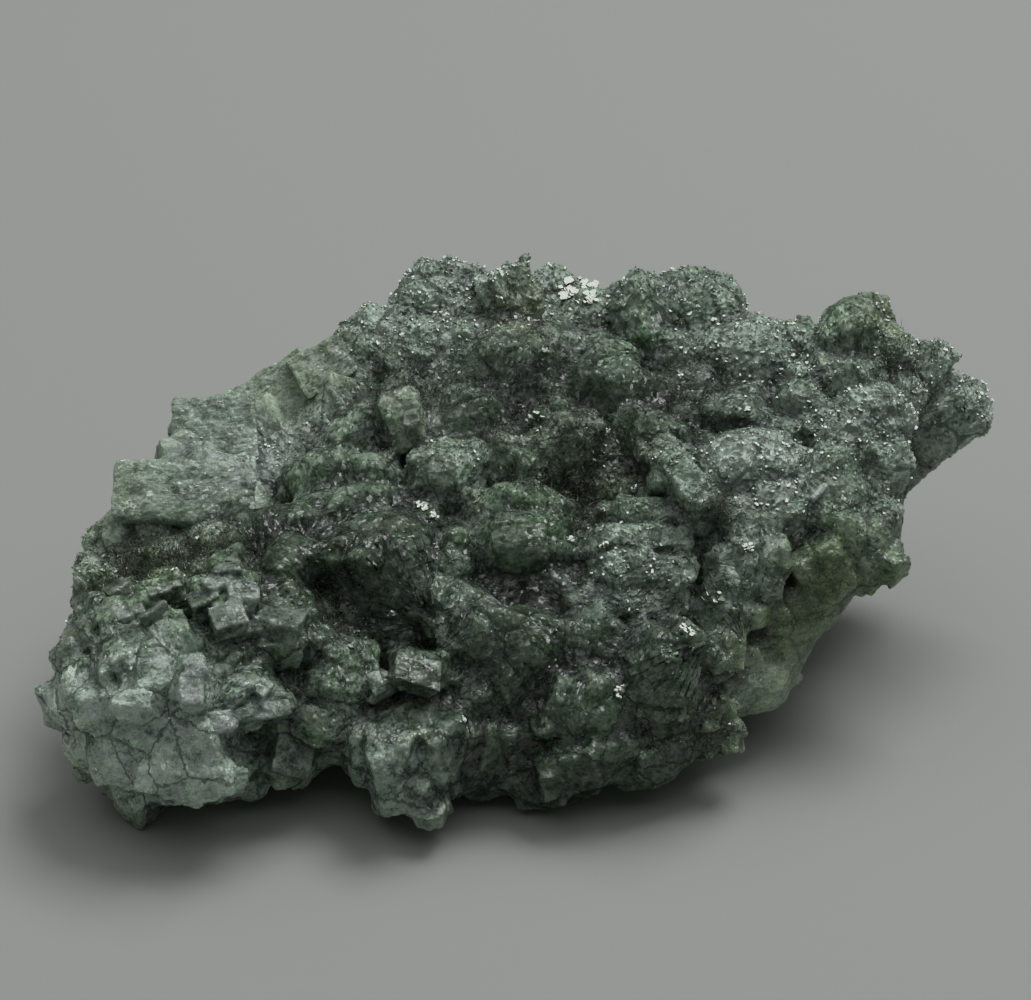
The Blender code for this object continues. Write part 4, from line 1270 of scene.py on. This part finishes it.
def prehnite(name, gloss=0.0, subsurface=0.0, transmission=0.0, stripes=0.15):
    """Green glassy stone: tones, crystal faces, veils, growth lines, frost and dust, with painted shade in
    hollows, painted light on bulges and pale edges that are partly painted glow.
    """
    material = bpy.data.materials.new(name)
    material.use_nodes = True
    tree = material.node_tree
    surface = tree.nodes["Principled BSDF"]
    link = tree.links.new
    layer = {n: node(tree, "ShaderNodeAttribute", attribute_name=n) for n in
             ("tone", "frost", "dust", "smooth", "shade", "ridge", "relief", "grain")}
    broken = spread_range(tree, layer["smooth"].outputs["Fac"], 0.3, 1.0, 1.0, 0.12)
    facets = spread_range(tree, layer["smooth"].outputs["Fac"], 0.3, 1.0, 1.0, 0.4)
    grain = layer["grain"].outputs["Vector"]
    place = node(tree, "ShaderNodeTexCoord").outputs["Object"]
    clouds = noise(tree, place, CLOUD_SCALE, 3.0, 0.62)
    patches = noise(tree, place, PATCH_SCALE, 4.0, 0.75)
    lines = noise(tree, vector_math(tree, "MULTIPLY", grain, LINE_CELLS), 1.0, 2.0, 0.65)
    face_tone, _, face_slope, face_edge = mosaic(tree, grain, FACE_CELLS)
    chip_tone, chip_gloss, chip_slope, _ = mosaic(tree, grain, CHIP_CELLS)
    sugar_tone, _, sugar_slope, _ = mosaic(tree, grain, SUGAR_CELLS, SUGAR_SHAPE)
    # Strength of the tone, with the relief shade: painted shade in hollows and painted light on bulges
    strength = multiplied(
        tree,
        spread_range(tree, layer["shade"].outputs["Fac"], -1.0, 1.0, 0.8, 1.2),
        spread_range(tree, clouds, 0.3, 0.7, 0.6, 1.45),
        spread_range(tree, lines, 0.3, 0.7, 1.0 - stripes, 1.0 + stripes),
        spread_range(tree, layer["relief"].outputs["Fac"], -0.7, 0.8, 0.22, 1.6),
        spread_range(tree, multiplied(tree, face_tone, broken), 0.0, 1.0, 0.65, 1.5),
        spread_range(tree, multiplied(tree, chip_tone, broken), 0.0, 1.0, 0.65, 1.5),
        spread_range(tree, sugar_tone, 0.0, 1.0, 0.55, 1.5),
    )
    stone = node(tree, "ShaderNodeVectorMath", operation="SCALE")
    link(layer["tone"].outputs["Vector"], stone.inputs[0])
    link(strength, stone.inputs["Scale"])
    # Edge glow: painted glow of light through thin edges and crystal borders, partly pale frost, strongest
    # where the stone is frosted
    edge_glow = linked_math(
        tree, "MAXIMUM",
        spread_range(tree, layer["ridge"].outputs["Fac"], 0.15, 1.0, 0.0, 0.6),
        multiplied(tree, spread_range(tree, face_edge, 0.0, 0.07, 0.4, 0.0), broken),
    )
    edge_glow = multiplied(
        tree, edge_glow,
        spread_range(tree, patches, 0.35, 0.65, 0.2, 1.0),
        spread_range(tree, layer["frost"].outputs["Fac"], 0.02, 0.25, 0.15, 1.0),
    )
    edged = mixed(tree, edge_glow, stone.outputs["Vector"], EDGE_TONE)
    icy = spread_range(tree, patches, 0.44, 0.58, 0.0, 1.0)
    frost = multiplied(tree, layer["frost"].outputs["Fac"], icy)
    frosted = mixed(tree, multiplied(tree, frost, FROST_COVER), edged, FROST_TONE)
    facing = node(tree, "ShaderNodeSeparateXYZ")
    link(node(tree, "ShaderNodeNewGeometry").outputs["Normal"], facing.inputs[0])
    settled = multiplied(
        tree,
        spread_range(tree, facing.outputs["Z"], -0.2, 0.9, 0.3, 1.0),
        layer["dust"].outputs["Fac"],
        spread_range(tree, sugar_tone, 0.1, 0.9, 0.0, 1.0),
        spread_range(tree, chip_tone, 0.1, 0.8, 0.35, 1.0),
    )
    dusty = mixed(tree, multiplied(tree, settled, DUST_COVER), frosted, DUST_TONE)
    link(dusty, surface.inputs["Base Color"])
    matt = linked_math(tree, "MAXIMUM", frost, settled)
    roughness = multiplied(
        tree,
        spread_range(tree, matt, 0.0, 0.8, 0.2 - gloss, 0.6 - gloss),
        spread_range(tree, chip_gloss, 0.2, 0.6, 0.35, 1.0),
    )
    link(roughness, surface.inputs["Roughness"])
    ribbed = bump(tree, lines, 0.2, LINE_BUMP)
    faces = bump(tree, face_slope, facets, FACE_DEPTH, ribbed)
    chipped = bump(tree, chip_slope, facets, CHIP_DEPTH, faces)
    sandy = bump(tree, sugar_slope, spread_range(tree, matt, 0.0, 1.0, 0.1, 1.0), SUGAR_DEPTH, chipped)
    link(sandy, surface.inputs["Normal"])
    surface.inputs["IOR"].default_value = STONE_IOR
    surface.inputs["Specular IOR Level"].default_value = MIRROR_LEVEL
    surface.inputs["Transmission Weight"].default_value = transmission
    surface.inputs["Subsurface Weight"].default_value = subsurface
    surface.inputs["Subsurface Radius"].default_value = SCATTER_RADIUS
    surface.inputs["Subsurface Scale"].default_value = SCATTER_SCALE
    return material


def bright_stone():
    """Clean cleavage faces: dark, clear and nearly mirror-smooth."""
    material = bpy.data.materials.new("bright_stone")
    material.use_nodes = True
    tree = material.node_tree
    surface = tree.nodes["Principled BSDF"]
    place = node(tree, "ShaderNodeTexCoord").outputs["Object"]
    veils = noise(tree, place, VEIL_SCALE, 3.0)
    veiled = mixed(tree, veils, (*TONES["clear"][:3], 1.0), EDGE_TONE)
    tree.links.new(veiled, surface.inputs["Base Color"])
    tree.links.new(spread_range(tree, veils, 0.3, 0.7, 0.05, 0.14), surface.inputs["Roughness"])
    tree.links.new(bump(tree, veils, 0.04, VEIL_BUMP), surface.inputs["Normal"])
    surface.inputs["IOR"].default_value = STONE_IOR
    return material


def pale_floor():
    material = bpy.data.materials.new("pale_floor")
    material.use_nodes = True
    surface = material.node_tree.nodes["Principled BSDF"]
    surface.inputs["Base Color"].default_value = FLOOR_TONE
    surface.inputs["Roughness"].default_value = FLOOR_ROUGHNESS
    mesh = bpy.data.meshes.new("floor")
    corners = [(x * FLOOR_REACH, y * FLOOR_REACH, 0.0) for x, y in ((-1, -1), (1, -1), (1, 1), (-1, 1))]
    mesh.from_pydata(corners, [], [(0, 1, 2, 3)])
    mesh.materials.append(material)
    floor = bpy.data.objects.new("floor", mesh)
    bpy.context.scene.collection.objects.link(floor)


def camera():
    away, _ = camera_axes()
    data = bpy.data.cameras.new("camera")
    data.sensor_width = SENSOR_WIDTH
    data.lens = SENSOR_WIDTH * VIEW_DISTANCE / (PICTURE_SIZE[0] / PIXELS_PER_MM * MM)
    data.clip_start = NEAREST_SEEN
    thing = bpy.data.objects.new("camera", data)
    thing.location = VIEW_TARGET - away * VIEW_DISTANCE
    thing.rotation_euler = away.to_track_quat("-Z", "Y").to_euler()
    bpy.context.scene.collection.objects.link(thing)
    bpy.context.scene.camera = thing


def area_light(name, place, size, power):
    data = bpy.data.lights.new(name, "AREA")
    data.shape = "RECTANGLE"
    data.size, data.size_y = size
    data.energy = power
    thing = bpy.data.objects.new(name, data)
    thing.location = place
    thing.rotation_euler = (Vector(LIGHT_AIM) - Vector(place)).to_track_quat("-Z", "Y").to_euler()
    bpy.context.scene.collection.objects.link(thing)


def lights():
    area_light("window", WINDOW_PLACE, WINDOW_SIZE, WINDOW_POWER)
    area_light("ceiling", CEILING_PLACE, CEILING_SIZE, CEILING_POWER)
    world = bpy.data.worlds.new("room")
    world.use_nodes = True
    background = world.node_tree.nodes["Background"]
    background.inputs["Color"].default_value = ROOM_TONE
    background.inputs["Strength"].default_value = ROOM_STRENGTH
    bpy.context.scene.world = world
    bpy.context.scene.view_settings.view_transform = "Standard"


def main():
    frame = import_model()
    cad = frame["nodes"]["prehnite_cluster"]
    surface = BVHTree.FromPolygons(
        [vert.co.copy() for vert in cad.data.vertices], [tuple(face.vertices) for face in cad.data.polygons]
    )
    rng = np.random.default_rng(CRYSTAL_SEED)
    points, triangles = mesh_arrays(cad.data)
    samples = surface_samples(points, triangles, rng)
    tone_map = ToneMap(surface, samples[0], np.random.default_rng(PATCH_SEED))
    points, triangles, normals, layers = grown_surface(points, triangles, samples, surface, tone_map, rng)
    parts = body_parts(points, triangles, layers)
    stone = prehnite("body_stone")
    for part in parts:
        part.data.materials.append(stone)
    glitter = grains(points, normals, tone_map, rng)
    glitter.data.materials.append(prehnite("grain_stone", gloss=0.1))
    mats = needles(points, normals, surface, rng)
    mats.data.materials.append(prehnite("needle_stone"))
    skin = BVHTree.FromPolygons(points.tolist(), triangles.tolist())
    singles = crystal_piece("single_crystals", clear_crystals(skin, rng), None, SINGLE_WEAR, rng)
    singles.data.materials.append(prehnite("clear_stone", gloss=0.15, transmission=0.2))
    slabs = crystal_piece("pale_slabs", slab_crystals(surface), tone_map, SLAB_WEAR, rng)
    slabs.data.materials.append(prehnite("slab_stone", gloss=0.08, subsurface=0.4, stripes=0.3))
    blades = blade_fans(skin, rng)
    blades.data.materials.append(prehnite("blade_stone", gloss=0.08))
    faces = bright_faces(skin, points, normals, tone_map, rng)
    faces.data.materials.append(bright_stone())
    for piece in (*parts, glitter, mats, singles, slabs, blades, faces):
        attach(piece, "root")
        print(piece.name, "triangles", len(piece.data.loops) - 2 * len(piece.data.polygons))
    for part in parts:
        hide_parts("prehnite_cluster")
    pale_floor()
    camera()
    lights()


main()
